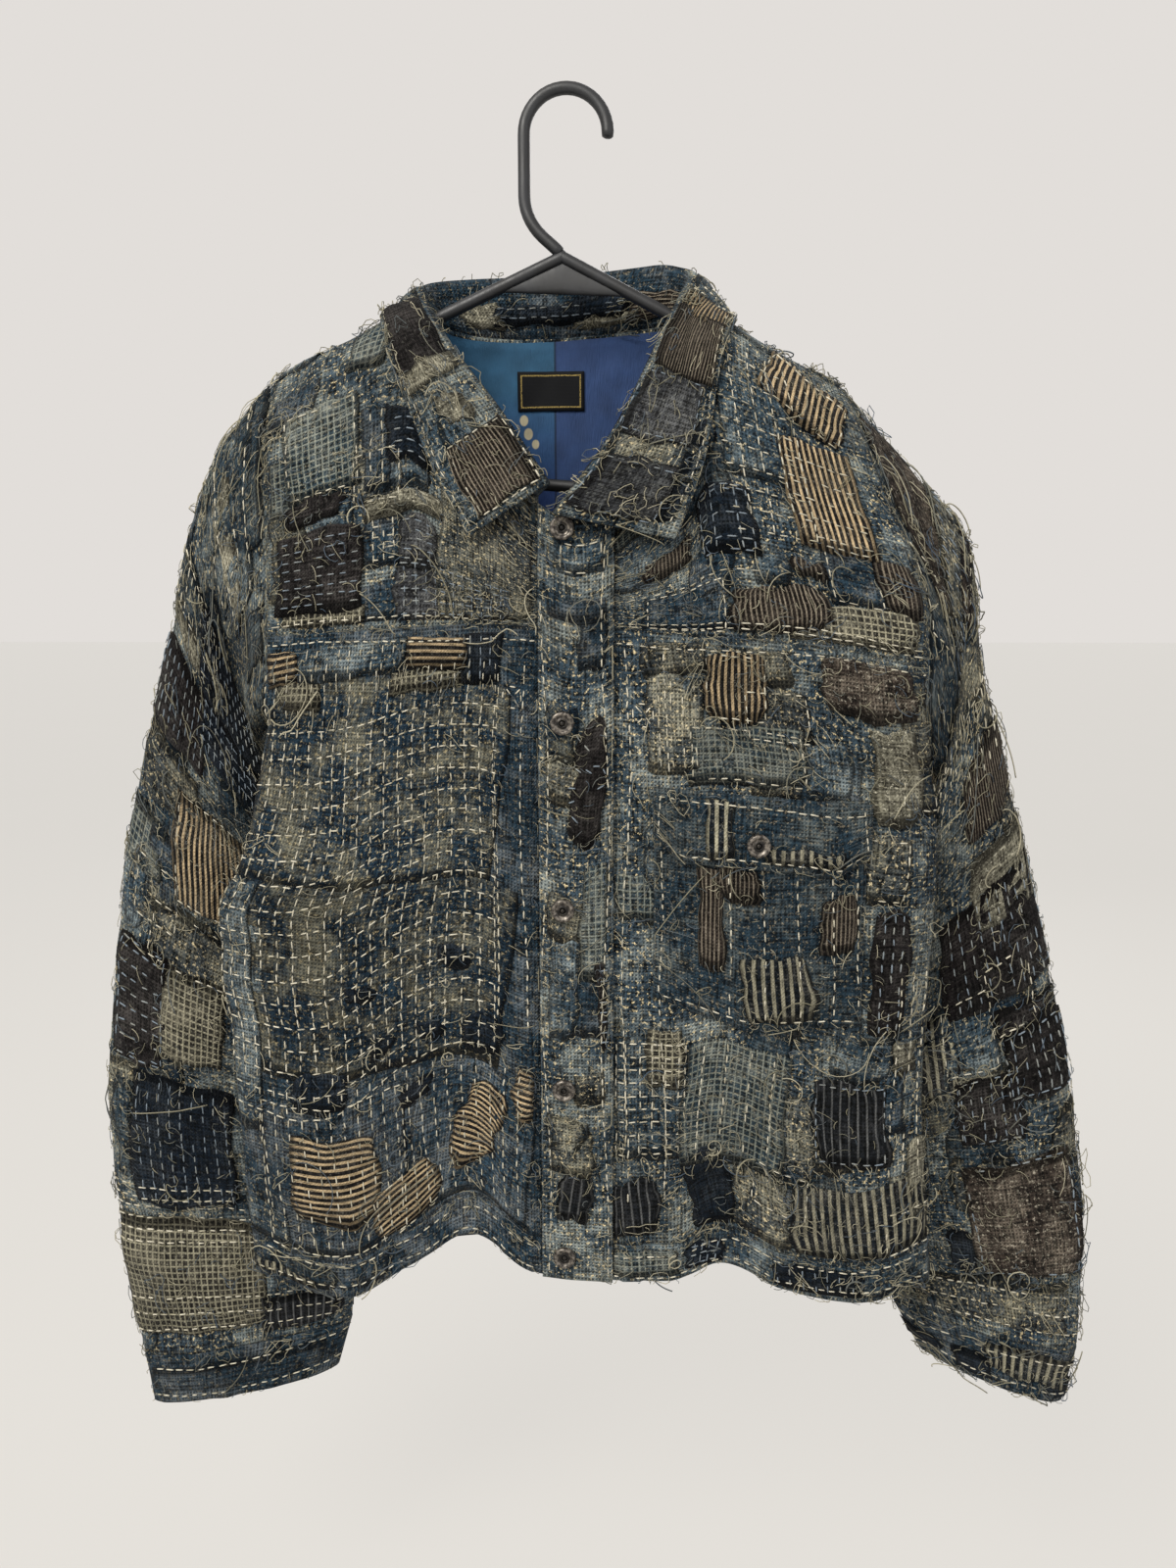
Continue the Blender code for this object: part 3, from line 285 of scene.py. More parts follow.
def bodyShares(side):
    # rows from the hem band to the yoke seam: even up to the underarm, then the armhole's own
    edge = 0 if side == "right" else -1
    low, high = hemLine.z[edge] + bodyCut["hemBand"], yokeSeam.z[edge]
    under = (underarm[side] - low) / (high - low)
    below = np.linspace(0, 1, bodyCut["bodyRows"]) ** 0.93 * under
    return np.concatenate([below, (under + (1 - under) * bodyCut["armholeRows"])[1:]])


def frontX(side, z, shares):
    # from the side edge a share of the way to the middle edge
    xSide = sideEdge(side, z)[0]
    return xSide + (centreOf(side) - xSide) * shares


def backX(z, shares):
    # from the right side edge a share of the way to the left one
    xRight, xLeft = sideEdge("right", z)[0], sideEdge("left", z)[0]
    return xRight + (xLeft - xRight) * shares


def seamLine(seam, xAt, shares, lift=0.0):
    # a seam's height at each column, settled with the x that depends on it
    z = np.full(len(shares), curve(seam, 0.0, "z") + lift)
    for _ in range(20):
        z = smooth(xAt(z, shares), seam.x, seam.z) + lift
    return z


def frontPiece(x, z, side="left"):
    # points of a front's surface at x and z
    return together(x, frontDepth(side, x, z), z)


def backPiece(x, z):
    # points of the back's surface at x and z
    return together(x, backDepth(x, z), z)


def frontGrid(side, low, high, rows, columns):
    # points at shares of the height and of the width, which the height decides
    z = low + (high - low) * rows[:, None]
    return frontPiece(frontX(side, z, columns), z, side)


def backGrid(low, high, rowsRight, rowsLeft, columns):
    # the same behind, its rows turning from the right side's shares into the left's
    z = low + (high - low) * (rowsRight[:, None] * (1 - columns) + rowsLeft[:, None] * columns)
    return backPiece(backX(z, columns), z)


def frontColumns(side):
    # shares of the width: along the shoulder, down the neckline, and the pleat's four lines
    neck = (neckPoint[side] - shoulder[side]) / (centreOf(side) - shoulder[side])
    first, last = bodyCut["pleat"][side]
    turn = bodyCut["pleatTurn"]
    between = neck + (first - neck) * bodyCut["frontNeckColumns"]
    return np.concatenate([neck * bodyCut["shoulderColumns"], between, [first, first + turn, last - turn, last, 1.0]])


def backColumns():
    # shares of the width: along one shoulder, across the neck and along the other shoulder
    width = shoulder["left"] - shoulder["right"]
    right = (neckPoint["right"] - shoulder["right"]) / width
    left = (neckPoint["left"] - shoulder["right"]) / width
    neck = right + (left - right) * bodyCut["backNeckColumns"]
    shares = bodyCut["shoulderColumns"]
    return np.concatenate([right * shares, neck, 1 - (1 - left) * shares[::-1]])


def nearest(values, wanted):
    # where the value lies that is closest to the wanted one
    return int(np.abs(values - wanted).argmin())


def seamsOf(hem, yoke, top, xAt, shares):
    # heights of the hem, the hem band's upper edge, the yoke seam and the top edge
    lines = ((hem, 0.0), (hem, bodyCut["hemBand"]), (yoke, 0.0), (top, 0.0))
    return [seamLine(line, xAt, shares, lift) for line, lift in lines]


def makeBody(step):
    # grids of the body pieces, rows upwards, and where the neck points and the armholes lie in them
    grids, marks = {}, {}
    band, _ = refined(np.array([0, 0.5, 1.0]), bodyCut["hemBand"], step)
    both = (bodyShares("right") + bodyShares("left")) / 2
    rows = {side: refined(bodyShares(side), lengths["rows"], step, both) for side in sideEdges}
    yoke, yokePlaces = refined(bodyCut["yokeRows"], lengths["yoke"], step)
    for side in sideEdges:
        shares, places = refined(frontColumns(side), lengths["front"], step)
        xAt = lambda z, s, side=side: frontX(side, z, s)
        hem, hemTop, seam, top = seamsOf(hemLine, yokeSeam, frontTop, xAt, shares)
        grids["hem_" + side] = frontGrid(side, hem, hemTop, band, shares)
        grids["front_" + side] = frontGrid(side, hemTop, seam, rows[side][0], shares)
        grids["yoke_" + side] = frontGrid(side, seam, top, yoke, shares)
        marks["neck_" + side] = nearest(places, 5)
        body = rows[side][1]
        first = nearest(body, bodyCut["bodyRows"] - 1)
        marks["armhole_" + side] = first
        loop = np.concatenate([body[first:-1] - body[first], yokePlaces + 3])[::-1]
        marks["angle_" + side] = np.pi * (1 - loop / loop.max())
    shares, places = refined(backColumns(), lengths["back"], step)
    hem, hemTop, seam, top = seamsOf(backHemLine, backYokeSeam, backTop, backX, shares)
    grids["hem_back"] = backGrid(hem, hemTop, band, band, shares)
    grids["back"] = backGrid(hemTop, seam, rows["right"][0], rows["left"][0], shares)
    grids["yoke_back"] = backGrid(seam, top, yoke, yoke, shares)
    marks["neck_back"] = (nearest(places, 5), nearest(places, 13))
    return grids, marks


def ovalOf(depth, angle):
    # half an oval's depth at an angle from its outer edge, thinner towards its inner one
    thinner = 1 - innerThinning * (1 - np.cos(angle)) / 2
    return depth * np.abs(np.sin(angle)) ** roundness["sleeve"] * thinner


def makeSleeve(side, half, grids, marks):
    # the function of angle round and share along that gives one half of a sleeve
    first, angles = marks["armhole_" + side], marks["angle_" + side]
    if half == "front":
        loop = np.concatenate([grids["front_" + side][first:-1, 0], grids["yoke_" + side][:, 0]])[::-1]
    else:
        edge = 0 if side == "right" else -1
        loop = np.concatenate([grids["back"][first:-1, edge], grids["yoke_back"][:, edge]])[::-1]
    sign = -1 if half == "front" else 1
    axis = loop[-1] - loop[0]
    share = ((loop - loop[0]) @ axis) / (axis @ axis)
    local = loop - loop[0] - share[:, None] * axis
    local = local / np.abs(local[:, 1]).max()
    rows = sleeveSections[side]

    def point(theta, w):
        # outer edge + share * (inner - outer) + the armhole's own shape, which an oval takes over down the sleeve
        theta, w = np.broadcast_arrays(theta, w)
        low = np.maximum(w, rows.w[0])
        outer, inner = (together(*[curve(rows, low, end + k) for k in "xyz"]) for end in "oi")
        depth = curve(rows, low, half)
        turned = np.clip(low / blendShare, 0, 1)
        turned = turned**2 * (3 - 2 * turned)
        ringShare = np.interp(theta, angles, share)
        ringShare = ringShare + ((1 - np.cos(theta)) / 2 - ringShare) * turned
        shape = together(*[np.interp(theta, angles, local[:, k]) for k in range(3)])
        ring = outer + ringShare[..., None] * (inner - outer) + shape * (depth * (1 - turned))[..., None]
        around = np.degrees(theta if half == "front" else 2 * np.pi - theta)
        fold = lineRidges(low, around, sleeveFolds, vScale=1 / degreesPerSleeve) * np.abs(np.sin(theta))
        ring[..., 1] += sign * (ovalOf(depth, theta) * turned + fold)
        start = together(*[np.interp(theta, angles, loop[:, k]) for k in range(3)])
        blend = np.clip(w / rows.w[0], 0, 1)[..., None]
        return start + (ring - start) * blend

    return point, angles


def makeCuff(side, sleeves, angles, step):
    # closed rings from the sleeve's end down to the wrist's oval
    end = cuffEnds[side]
    outer, inner = (np.array([end[e + "x"], end[e + "y"], end[e + "z"]], float) for e in "oi")
    wrist = []
    for half, sign in (("front", -1), ("back", 1)):
        ring = outer + ((1 - np.cos(angles)) / 2)[:, None] * (inner - outer)
        ring[1:-1, 1] += sign * ovalOf(end[half], angles)[1:-1]
        wrist.append(ring)
    top = np.concatenate([sleeves["front"][-1], sleeves["back"][-1][-2:0:-1]])
    bottom = np.concatenate([wrist[0], wrist[1][-2:0:-1]])
    shares, _ = refined(np.array([0, 0.5, 1.0]), lengths["cuff"], step)
    return top + (bottom - top) * shares[:, None, None]


def necklineOf(grids, marks):
    # the neckline from the right front's edge round the back to the left front's, and each point's share of it
    right = grids["yoke_right"][-1, marks["neck_right"] :][::-1]
    left = grids["yoke_left"][-1, marks["neck_left"] :]
    first, last = marks["neck_back"]
    back = grids["yoke_back"][-1, first + 1 : last]
    turn = collarCut["turn"]
    atRight = -1 + (1 - turn) * (right[:, 0] - right[0, 0]) / (right[-1, 0] - right[0, 0])
    atLeft = turn + (1 - turn) * (left[:, 0] - left[0, 0]) / (left[-1, 0] - left[0, 0])
    width = neckPoint["left"] - neckPoint["right"]
    atBack = turn * (2 * (back[:, 0] - neckPoint["right"]) / width - 1)
    return np.concatenate([right, back, left]), np.concatenate([atRight, atBack, atLeft])


def clearOfBody(points):
    # moves the fall out where it would come too near the body's cloth
    x, y, z = (points[..., k].copy() for k in range(3))
    clear = collarCut["clear"]
    for top, sign in ((frontTop, -1), (backTop, 1)):
        low = z - clear
        if sign < 0:
            surface = np.where(x < 0, frontDepth("right", x, low), frontDepth("left", x, low)) - clear
        else:
            surface = backDepth(x, low) + clear
        under = (z < curve(top, x, "z") + clear) & (y * sign > -2)
        y = np.where(under, sign * np.maximum(sign * y, sign * surface), y)
    return together(x, y, z)


def makeCollar(grids, marks, step):
    # rows from the neckline up to the roll, then out and down to the fall's edge
    neck, at = necklineOf(grids, marks)
    roll, edge = (together(*[curve(line, at, k) for k in "xyz"]) for line in (rollLine, fallEdge))
    standShares, _ = refined(np.array([0, 0.34, 0.7, 1.0]), lengths["stand"], step)
    stand = neck + (roll - neck) * standShares[:, None, None]
    outward = (stand - stand.mean(axis=(0, 1))) * np.array([1, 1, 0])
    away = unit(facingNormals(stand, outward))[-1]
    fall = collarCut["fall"]
    shares, places = refined(fall.share, lengths["fall"], step)
    outs = np.interp(places, np.arange(len(fall.out)), fall.out)
    rows = [clearOfBody(roll + (edge - roll) * s + away * o) for s, o in zip(shares[1:], outs[1:])]
    return stand, np.concatenate([stand[-1:], np.array(rows)])


def faceNormals(grid, closed=False):
    # area-weighted normal of the faces round each point of a grid
    wide = np.concatenate([grid, grid[:, :1]], axis=1) if closed else grid
    face = np.cross(wide[1:, 1:] - wide[:-1, :-1], wide[1:, :-1] - wide[:-1, 1:])
    total = np.zeros(grid.shape)
    if closed:
        face = face + np.roll(face, 1, axis=1)
    for rows in (slice(None, -1), slice(1, None)):
        for columns in (slice(None),) if closed else (slice(None, -1), slice(1, None)):
            total[rows, columns] += face
    return total


def facingNormals(grid, outward, closed=False):
    # the same, turned round where their sum points away from outward
    normals = faceNormals(grid, closed)
    return normals * np.sign((normals * outward).sum())


def sharedNormals(parts):
    # normals summed over all pieces at the points where they meet; parts holds name: (grid, outward, closed)
    grids = [part[0].reshape(-1, 3) for part in parts.values()]
    normals = [facingNormals(*part).reshape(-1, 3) for part in parts.values()]
    keys = np.round(np.concatenate(grids) * 50).astype(np.int64)
    _, place = np.unique(keys, axis=0, return_inverse=True)
    place = place.reshape(-1)
    total = np.zeros((place.max() + 1, 3))
    np.add.at(total, place, np.concatenate(normals))
    found = unit(total)[place]
    ends = np.cumsum([0] + [len(grid) for grid in grids])
    return {
        name: found[ends[i] : ends[i + 1]].reshape(part[0].shape) for i, (name, part) in enumerate(parts.items())
    }


def makeJacket(step):
    # every cloth grid of the jacket with its shared normals, in millimetres
    grids, marks = makeBody(step)
    parts = {}
    for side in sideEdges:
        halves = {}
        along = np.concatenate([[0, 0.05, 0.13, 0.22], np.linspace(0.32, 1.0, 9)])
        along, _ = refined(along, lengths["sleeve"], step)
        for half in ("front", "back"):
            point, angles = makeSleeve(side, half, grids, marks)
            halves[half] = point(angles[None, :], along[:, None])
            parts[f"sleeve_{half}_{side}"] = (halves[half], np.array([0, -1 if half == "front" else 1, 0]), False)
        cuff = makeCuff(side, halves, angles, step)
        parts["cuff_" + side] = (cuff, cuff - cuff.mean(axis=1, keepdims=True), True)
    for name, grid in grids.items():
        parts[name] = (grid, np.array([0, 1 if "back" in name else -1, 0]), False)
    stand, fall = makeCollar(grids, marks, step)
    away = np.array([1, 1, 0])
    middle = stand.mean(axis=(0, 1))
    parts["collar_stand"] = (stand, (stand - middle) * away, False)
    parts["collar_fall"] = (fall, (middle - fall) * away, False)
    normals = sharedNormals(parts)
    return {name: (part[0], normals[name]) for name, part in parts.items()}


# Creases beside the largest folds: soft ridges (+) and troughs (-) from point to point, by depth and width.
frontCreases = table("x1 z1 x2 z2 width rise", """
    -171 -387 -62 -374 12 -2.5, -183 -438 -31 -431 14 2.5, -174 -471 -83 -489 12 -3, -119 -374 -142 -503 16 3,
    -82 -412 -65 -542 14 -3, -198 -491 -98 -542 14 3, -210 -544 -111 -569 11 -2.5, -158 -570 -59 -609 12 2.5,
    -200 -640 -185 -767 14 3, -140 -652 -154 -774 14 -3, -92 -610 -109 -751 13 3, -60 -650 -51 -749 12 -3.5,
    -26 -502 -21 -762 9 2, 57 -374 71 -593 12 2, 81 -349 180 -373 12 2, 204 -373 224 -499 13 3,
    180 -398 195 -486 10 -2.5, 227 -499 213 -630 12 2.5, 161 -605 125 -701 13 -2.5, 84 -620 99 -765 14 3,
    124 -687 152 -778 14 3, 188 -638 205 -776 14 -3, 226 -644 234 -768 12 2.5, 45 -600 53 -767 10 -2,
    -165 -210 -143 -312 14 2, -91 -240 -43 -312 12 -2, -130 -312 -30 -288 10 1.5, 91 -195 129 -313 14 2,
    163 -218 190 -313 14 -2.5, 200 -265 221 -337 12 3, 44 -288 117 -307 10 1.5, -221 -203 -253 -311 14 2.5,
    -204 -272 -229 -390 12 -3, -268 -337 -208 -370 9 -2.5, -285 -417 -212 -457 12 3, -288 -464 -213 -477 9 -3.5,
    -306 -534 -223 -554 10 -4, -311 -563 -231 -590 10 3.5, -320 -653 -234 -659 9 -4, -326 -762 -217 -766 9 -3.5,
    -321 -792 -220 -827 12 2.5, -317 -862 -170 -849 8 -2.5, -254 -485 -282 -753 16 2, 245 -287 276 -414 12 3,
    235 -337 271 -440 12 -3.5, 275 -401 304 -466 10 -2.5, 243 -460 311 -472 10 3, 254 -500 319 -509 9 -3.5,
    252 -595 336 -587 10 -4, 259 -616 346 -642 11 3, 256 -694 356 -698 10 -4, 296 -700 321 -787 14 2,
    246 -796 361 -793 9 -3, 248 -841 360 -830 9 2
""")
backCreases = table("x1 z1 x2 z2 width rise", """
    -150 -240 -60 -300 13 2, 60 -230 170 -300 12 -2, -40 -190 -30 -330 14 1.5, -170 -380 -70 -430 14 3,
    -180 -450 -60 -470 12 -3, 40 -390 190 -430 13 3, 70 -450 210 -480 11 -3, -120 -520 -40 -560 12 2.5,
    20 -540 160 -570 14 2.5, -180 -600 -160 -760 13 3, -110 -620 -100 -770 12 -3, -40 -640 -30 -770 13 2.5,
    30 -600 45 -770 11 -3, 100 -620 95 -770 14 3, 170 -600 180 -760 12 -2.5, -300 -430 -215 -470 11 3,
    -305 -520 -225 -545 10 -4, -325 -640 -235 -650 10 3.5, -330 -740 -220 -760 9 -3.5, 250 -440 310 -470 10 3.5,
    255 -560 330 -575 10 -4, 258 -660 352 -670 10 3, 250 -760 362 -765 9 -3.5, -280 -330 -240 -400 12 -2.5,
    250 -300 290 -390 12 2.5
""")
pucker = dict(waves=30, longest=64.0, shortest=15.0, rise=0.21, seed=3)
facing = dict(steep=1.6, start=0.2)  # how fast creases fade where the cloth turns away from their side


def creaseHeight(points, normals):
    # front creases as far as the cloth faces forwards, back ones as far as it faces back, and everywhere
    # between the edges a sum of sines in all directions, each as high as its length is long
    turned = facing["steep"] * normals[..., 1]
    forward, behind = (np.clip(sign * turned - facing["start"], 0, 1) for sign in (-1, 1))
    dice = np.random.default_rng(pucker["seed"])
    small = np.zeros(points.shape[:-1])
    for length in np.geomspace(pucker["longest"], pucker["shortest"], pucker["waves"]):
        turn = unit(dice.normal(size=3)) * 2 * np.pi / length
        small += np.sin(points @ turn + dice.uniform(0, 6.3)) * (length / pucker["longest"]) ** 0.6
    x, z = points[..., 0], points[..., 2]
    raised = forward * lineRidges(x, z, frontCreases) + behind * lineRidges(x, z, backCreases)
    return raised + small * pucker["rise"] * np.maximum(forward, behind)


def asPanel(grid, normals, wall, edgeCreases=None):
    # a piece of cloth: its middle surface, the way it faces, its wall, and distances along its middle lines
    high = creaseHeight(grid, normals)
    if edgeCreases is not None:
        high = high * edgeCreases
    grid = grid + normals * high[..., None]
    middleRow, middleColumn = grid[len(grid) // 2], grid[:, grid.shape[1] // 2]
    across, up = (
        np.concatenate([[0], np.cumsum(np.linalg.norm(np.diff(line, axis=0), axis=1))])
        for line in (middleRow, middleColumn)
    )
    return SimpleNamespace(grid=grid, normals=normals, wall=wall, across=across, up=up)


def onPanel(panel, across, up, lift=0.0):
    # the point at distances along the middle row and the middle column, lifted from the middle surface
    column = np.interp(across, panel.across, np.arange(len(panel.across)))
    row = np.interp(up, panel.up, np.arange(len(panel.up)))
    r = np.minimum(row.astype(int), len(panel.up) - 2)
    c = np.minimum(column.astype(int), len(panel.across) - 2)
    v, u = (row - r)[..., None], (column - c)[..., None]
    point, normal = (
        (f[r, c] * (1 - u) + f[r, c + 1] * u) * (1 - v) + (f[r + 1, c] * (1 - u) + f[r + 1, c + 1] * u) * v
        for f in (panel.grid, panel.normals)
    )
    normal = unit(normal)
    return point + normal * np.asarray(lift)[..., None], normal


def numbered(*shape):
    # the point numbers of a mesh whose points were laid out in that shape
    return np.arange(np.prod(shape)).reshape(shape)


def ringQuads(index, closed):
    # faces between each ring of point numbers and the next, and from the last to the first when closed
    here, there = (index, np.roll(index, -1, axis=-2)) if closed else (index[..., :-1, :], index[..., 1:, :])
    return together(here, there, np.roll(there, -1, axis=-1), np.roll(here, -1, axis=-1)).reshape(-1, 4)


def gridFaces(rows, columns):
    # four corners of each cell of a grid, row by row
    index = numbered(rows, columns)
    return together(index[:-1, :-1], index[:-1, 1:], index[1:, 1:], index[1:, :-1]).reshape(-1, 4)


def wallFaces(rows, columns):
    # faces of a closed wall whose outer points come first and then its inner ones, row by row, and how
    # many of them are its border
    index = numbered(rows, columns)
    below = rows * columns
    rim = np.concatenate([index[0], index[1:, -1], index[-1, -2::-1], index[-2::-1, 0]])
    border = together(rim[1:], rim[:-1], rim[:-1] + below, rim[1:] + below)
    outer = gridFaces(rows, columns)
    return np.concatenate([outer, outer[:, ::-1] + below, border]), len(border)


def facesOutward(grid, normals):
    # whether the faces' own normals agree with the given ones, summed over all
    return (faceNormals(grid) * normals).sum() > 0


def newPiece(name, points, faces, materials, slot, uv=None, kinds=None, flatFaces=0, replaces=(), **values):
    # one mesh object from arrays: points in mm, faces of three or four points (-1 stands for no fourth),
    # the last flatFaces of them flat; values are numbers at each point, by name
    count = np.where(faces[:, -1] < 0, faces.shape[1] - 1, faces.shape[1])
    corners = faces[faces >= 0]
    mesh = bpy.data.meshes.new(name)
    mesh.vertices.add(len(points))
    mesh.vertices.foreach_set("co", (np.asarray(points) * mm).astype(np.float32).ravel())
    mesh.loops.add(len(corners))
    mesh.loops.foreach_set("vertex_index", corners.astype(np.int32))
    mesh.polygons.add(len(faces))
    mesh.polygons.foreach_set("loop_start", (np.cumsum(count) - count).astype(np.int32))
    smoothFaces = np.ones(len(faces), bool)
    smoothFaces[len(faces) - flatFaces :] = False
    mesh.polygons.foreach_set("use_smooth", smoothFaces)
    for material in materials:
        mesh.materials.append(material)
    if kinds is not None:
        mesh.polygons.foreach_set("material_index", np.asarray(kinds, np.int32))
    if uv is not None:
        layer = mesh.uv_layers.new(name="cloth")
        layer.data.foreach_set("uv", (np.asarray(uv)[corners] * mm).astype(np.float32).ravel())
    for key, value in values.items():
        mesh.attributes.new(key, "FLOAT", "POINT").data.foreach_set("value", np.asarray(value, np.float32))
    mesh.update(calc_edges=True)
    made = bpy.data.objects.new(name, mesh)
    bpy.context.scene.collection.objects.link(made)
    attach(made, "root")
    if replaces:
        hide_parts(*replaces)
    return made


def cutOf(grid):
    # the size the piece was cut to: its longest row, its longest column and the area between, in metres
    across = np.linalg.norm(np.diff(grid, axis=1), axis=-1).sum(axis=1).max() * mm
    along = np.linalg.norm(np.diff(grid, axis=0), axis=-1).sum(axis=0).max() * mm
    area = np.linalg.norm(np.cross(grid[1:, 1:] - grid[:-1, :-1], grid[1:, :-1] - grid[:-1, 1:]), axis=-1)
    return (round(float(across), 3), round(float(along), 3)), float(area.sum()) / 2 * mm * mm


def clothPiece(name, panel, material, slot, replaces):
    # outer and inner face half a wall either side of the middle surface, and a border round them
    rows, columns = panel.grid.shape[:2]
    half = panel.wall / 2
    sides = [panel.grid + panel.normals * lift for lift in (half, -half)]
    faces, border = wallFaces(rows, columns)
    if not facesOutward(panel.grid, panel.normals):
        faces = faces[:, ::-1]
    u, v = np.meshgrid(panel.across, panel.up)
    uv = np.tile(together(u, v).reshape(-1, 2), (2, 1))
    points = np.concatenate([side.reshape(-1, 3) for side in sides])
    return newPiece(name, points, faces, [material], slot, uv, flatFaces=border, replaces=replaces)


def closurePiece(x, z):
    # level between the right front's edge and the left front's
    low, high = bodyCut["rightBandEdge"], bodyCut["leftFrontEdge"]
    share = np.clip((x - low) / (high - low), 0, 1)
    right, left = frontDepth("right", np.full_like(x, low), z), frontDepth("left", np.maximum(x, high), z)
    return together(x, right + (left - right) * share, z)


def laidPanel(surface, x, z, lift, wall, outward=(0, -1, 0)):
    # a piece that follows the body's cloth at a lift from its middle surface
    grid = surface(x, z)
    normals = unit(facingNormals(grid, np.array(outward, float)))
    high = creaseHeight(grid, normals)[..., None]
    return asPanel(grid + normals * (high + lift), normals, wall, edgeCreases=0.0)


def outline(x1, x2, bottom, top, step):
    # x and z grids between two sides, whose bottom and top are heights at shares of the width
    shares = np.linspace(0, 1, int(np.ceil((x2 - x1) / step)) + 1)
    low, high = np.interp(shares, *bottom), np.interp(shares, *top)
    rows = np.linspace(0, 1, int(np.ceil((high - low).max() / step)) + 1)[:, None]
    return x1 + (x2 - x1) * shares + 0 * rows, low + (high - low) * rows


def linear(hexText):
    # an sRGB hex colour as the linear one that the shaders take
    value = np.array([int(hexText[i : i + 2], 16) for i in (1, 3, 5)]) / 255
    value = np.where(value <= 0.04045, value / 12.92, ((value + 0.055) / 1.055) ** 2.4)
    return (*value.tolist(), 1.0)


def add(tree, kind, *values, output=0, **settings):
    # adds one node and gives back one of its outputs. Kind may end in an operation, values are its inputs in
    # order or by number, and a setting with a capital is an input by name; each is a number, colour or output.
    kind, *operation = kind.split()
    made = tree.nodes.new("ShaderNode" + kind)
    inputs = dict(values[0] if isinstance(values[:1] and values[0], dict) else enumerate(values))
    inputs.update((key, value) for key, value in settings.items() if key[0].isupper())
    for key, value in (*settings.items(), *(("operation", k) for k in operation)):
        if key not in inputs:
            setattr(made, key, value)
    for key, value in inputs.items():
        if isinstance(value, bpy.types.NodeSocket):
            tree.links.new(value, made.inputs[key])
        else:
            made.inputs[key].default_value = linear(value) if isinstance(value, str) else value
    return made.outputs[output]


def newMaterial(name, **even):
    # a material with what is even all over it, the function that adds its nodes, and the one that links them
    made = bpy.data.materials.new(name)
    made.use_nodes = True
    tree = made.node_tree
    shader = tree.nodes["Principled BSDF"].inputs
    for key, value in even.items():
        shader[key].default_value = linear(value) if isinstance(value, str) else value
    return made, partial(add, tree), lambda value, key: tree.links.new(value, shader[key])


blend = dict(output=2, data_type="RGBA")  # settings of a Mix node that mixes two colours, its inputs 6 and 7


def stripes(node, along, every, wide):
    # 1 on each stripe, which takes the share wide of the distance to the next one, and 0 between
    wave = node("Math SINE", node("Math MULTIPLY", along, 2 * np.pi / every))
    edge = float(np.cos(np.pi * wide))
    return node("MapRange", wave, edge - 0.25, edge + 0.25)


# The cloths by what a mender would call them. dark and light are the two shades of the yarn, worn is what
# shows where the dye is rubbed off and wornShare how much of it, soft how much of that evens out, fleck the
# pale slubs and flecks how many; every and wide (mm, share) make a stripe, and crossed repeats it the other way.
cloths = dict(
    boro=("#0b0f12", "#41525e", "#8f9691", 0.95, 0.15, "#dbc99e", 0.95),
    sashiko=("#070d13", "#223442", "#928c73", 0.46, 0.3, "#ccbb90", 0.45),
    indigo=("#0a1015", "#2d414f", "#83888a", 0.5, 0.15, "#bfb190", 0.35),
    navy=("#06090c", "#18222d", "#51565b", 0.3, 0.15, "#787b7a", 0.15),
    denim=("#0d1318", "#41535f", "#8d9797", 0.8, 0.15, "#d2c39d", 0.6),
    greenBlue=("#0a1015", "#2c3e4a", "#7b807a", 0.45, 0.15, "#bbac8d", 0.4),
    charcoal=("#070606", "#272424", "#5b5754", 0.35, 0.15, "#797871", 0.2),
    felt=("#131314", "#424447", "#7b7c7a", 0.4, 0.15, "#999a93", 0.3),
    cream=("#2c2a24", "#838070", "#bfbaa3", 0.6, 0.15, "#dad5be", 0.7),
    tweed=("#0c0f10", "#495053", "#9c9883", 0.8, 0.15, "#d4c49d", 0.9),
    brownTweed=("#0c0a09", "#3e3630", "#867c6e", 0.55, 0.15, "#a59e8e", 0.7),
    ribs=("#090909", "#262424", "#676358", 0.3, 0.15, "#999487", 0.25, "#b7a17e", 4.6, 0.42),
    brownRibs=("#090807", "#241e1b", "#5e564d", 0.3, 0.15, "#837b6f", 0.25, "#7d7465", 2.9, 0.34),
    pinstripe=("#060707", "#1c1f23", "#454546", 0.3, 0.15, "#676868", 0.15, "#6e6f6e", 6.0, 0.16),
    stripe=("#06090b", "#20262d", "#6d6a61", 0.4, 0.15, "#9c998b", 0.3, "#9d9882", 6.0, 0.4),
    plaid=("#0c1113", "#36454e", "#8b8d83", 0.5, 0.15, "#bdb295", 0.35, "#81857a", 4.4, 0.2, "crossed"),
    check=("#11100e", "#3e3c36", "#898472", 0.5, 0.15, "#b1ac97", 0.4, "#9a957f", 4.4, 0.24, "crossed"),
)
clothKeys = "dark light worn wornShare soft fleck flecks stripe every wide crossed".split()
# Cotton yarn here is about 0.5 mm thick, too fine to show, so the weave is drawn with 2.4 mm to a pair of
# yarns; a slub is 2 mm wide and 14 mm long, a worn-through slub 3 mm, a faded cloud 30 mm, dirt 90 mm.
weave = dict(every=2.4, slubWide=0.5, slubLong=0.07, speck=0.36, cloud=34.0, dirt=11.0, bump=0.8)


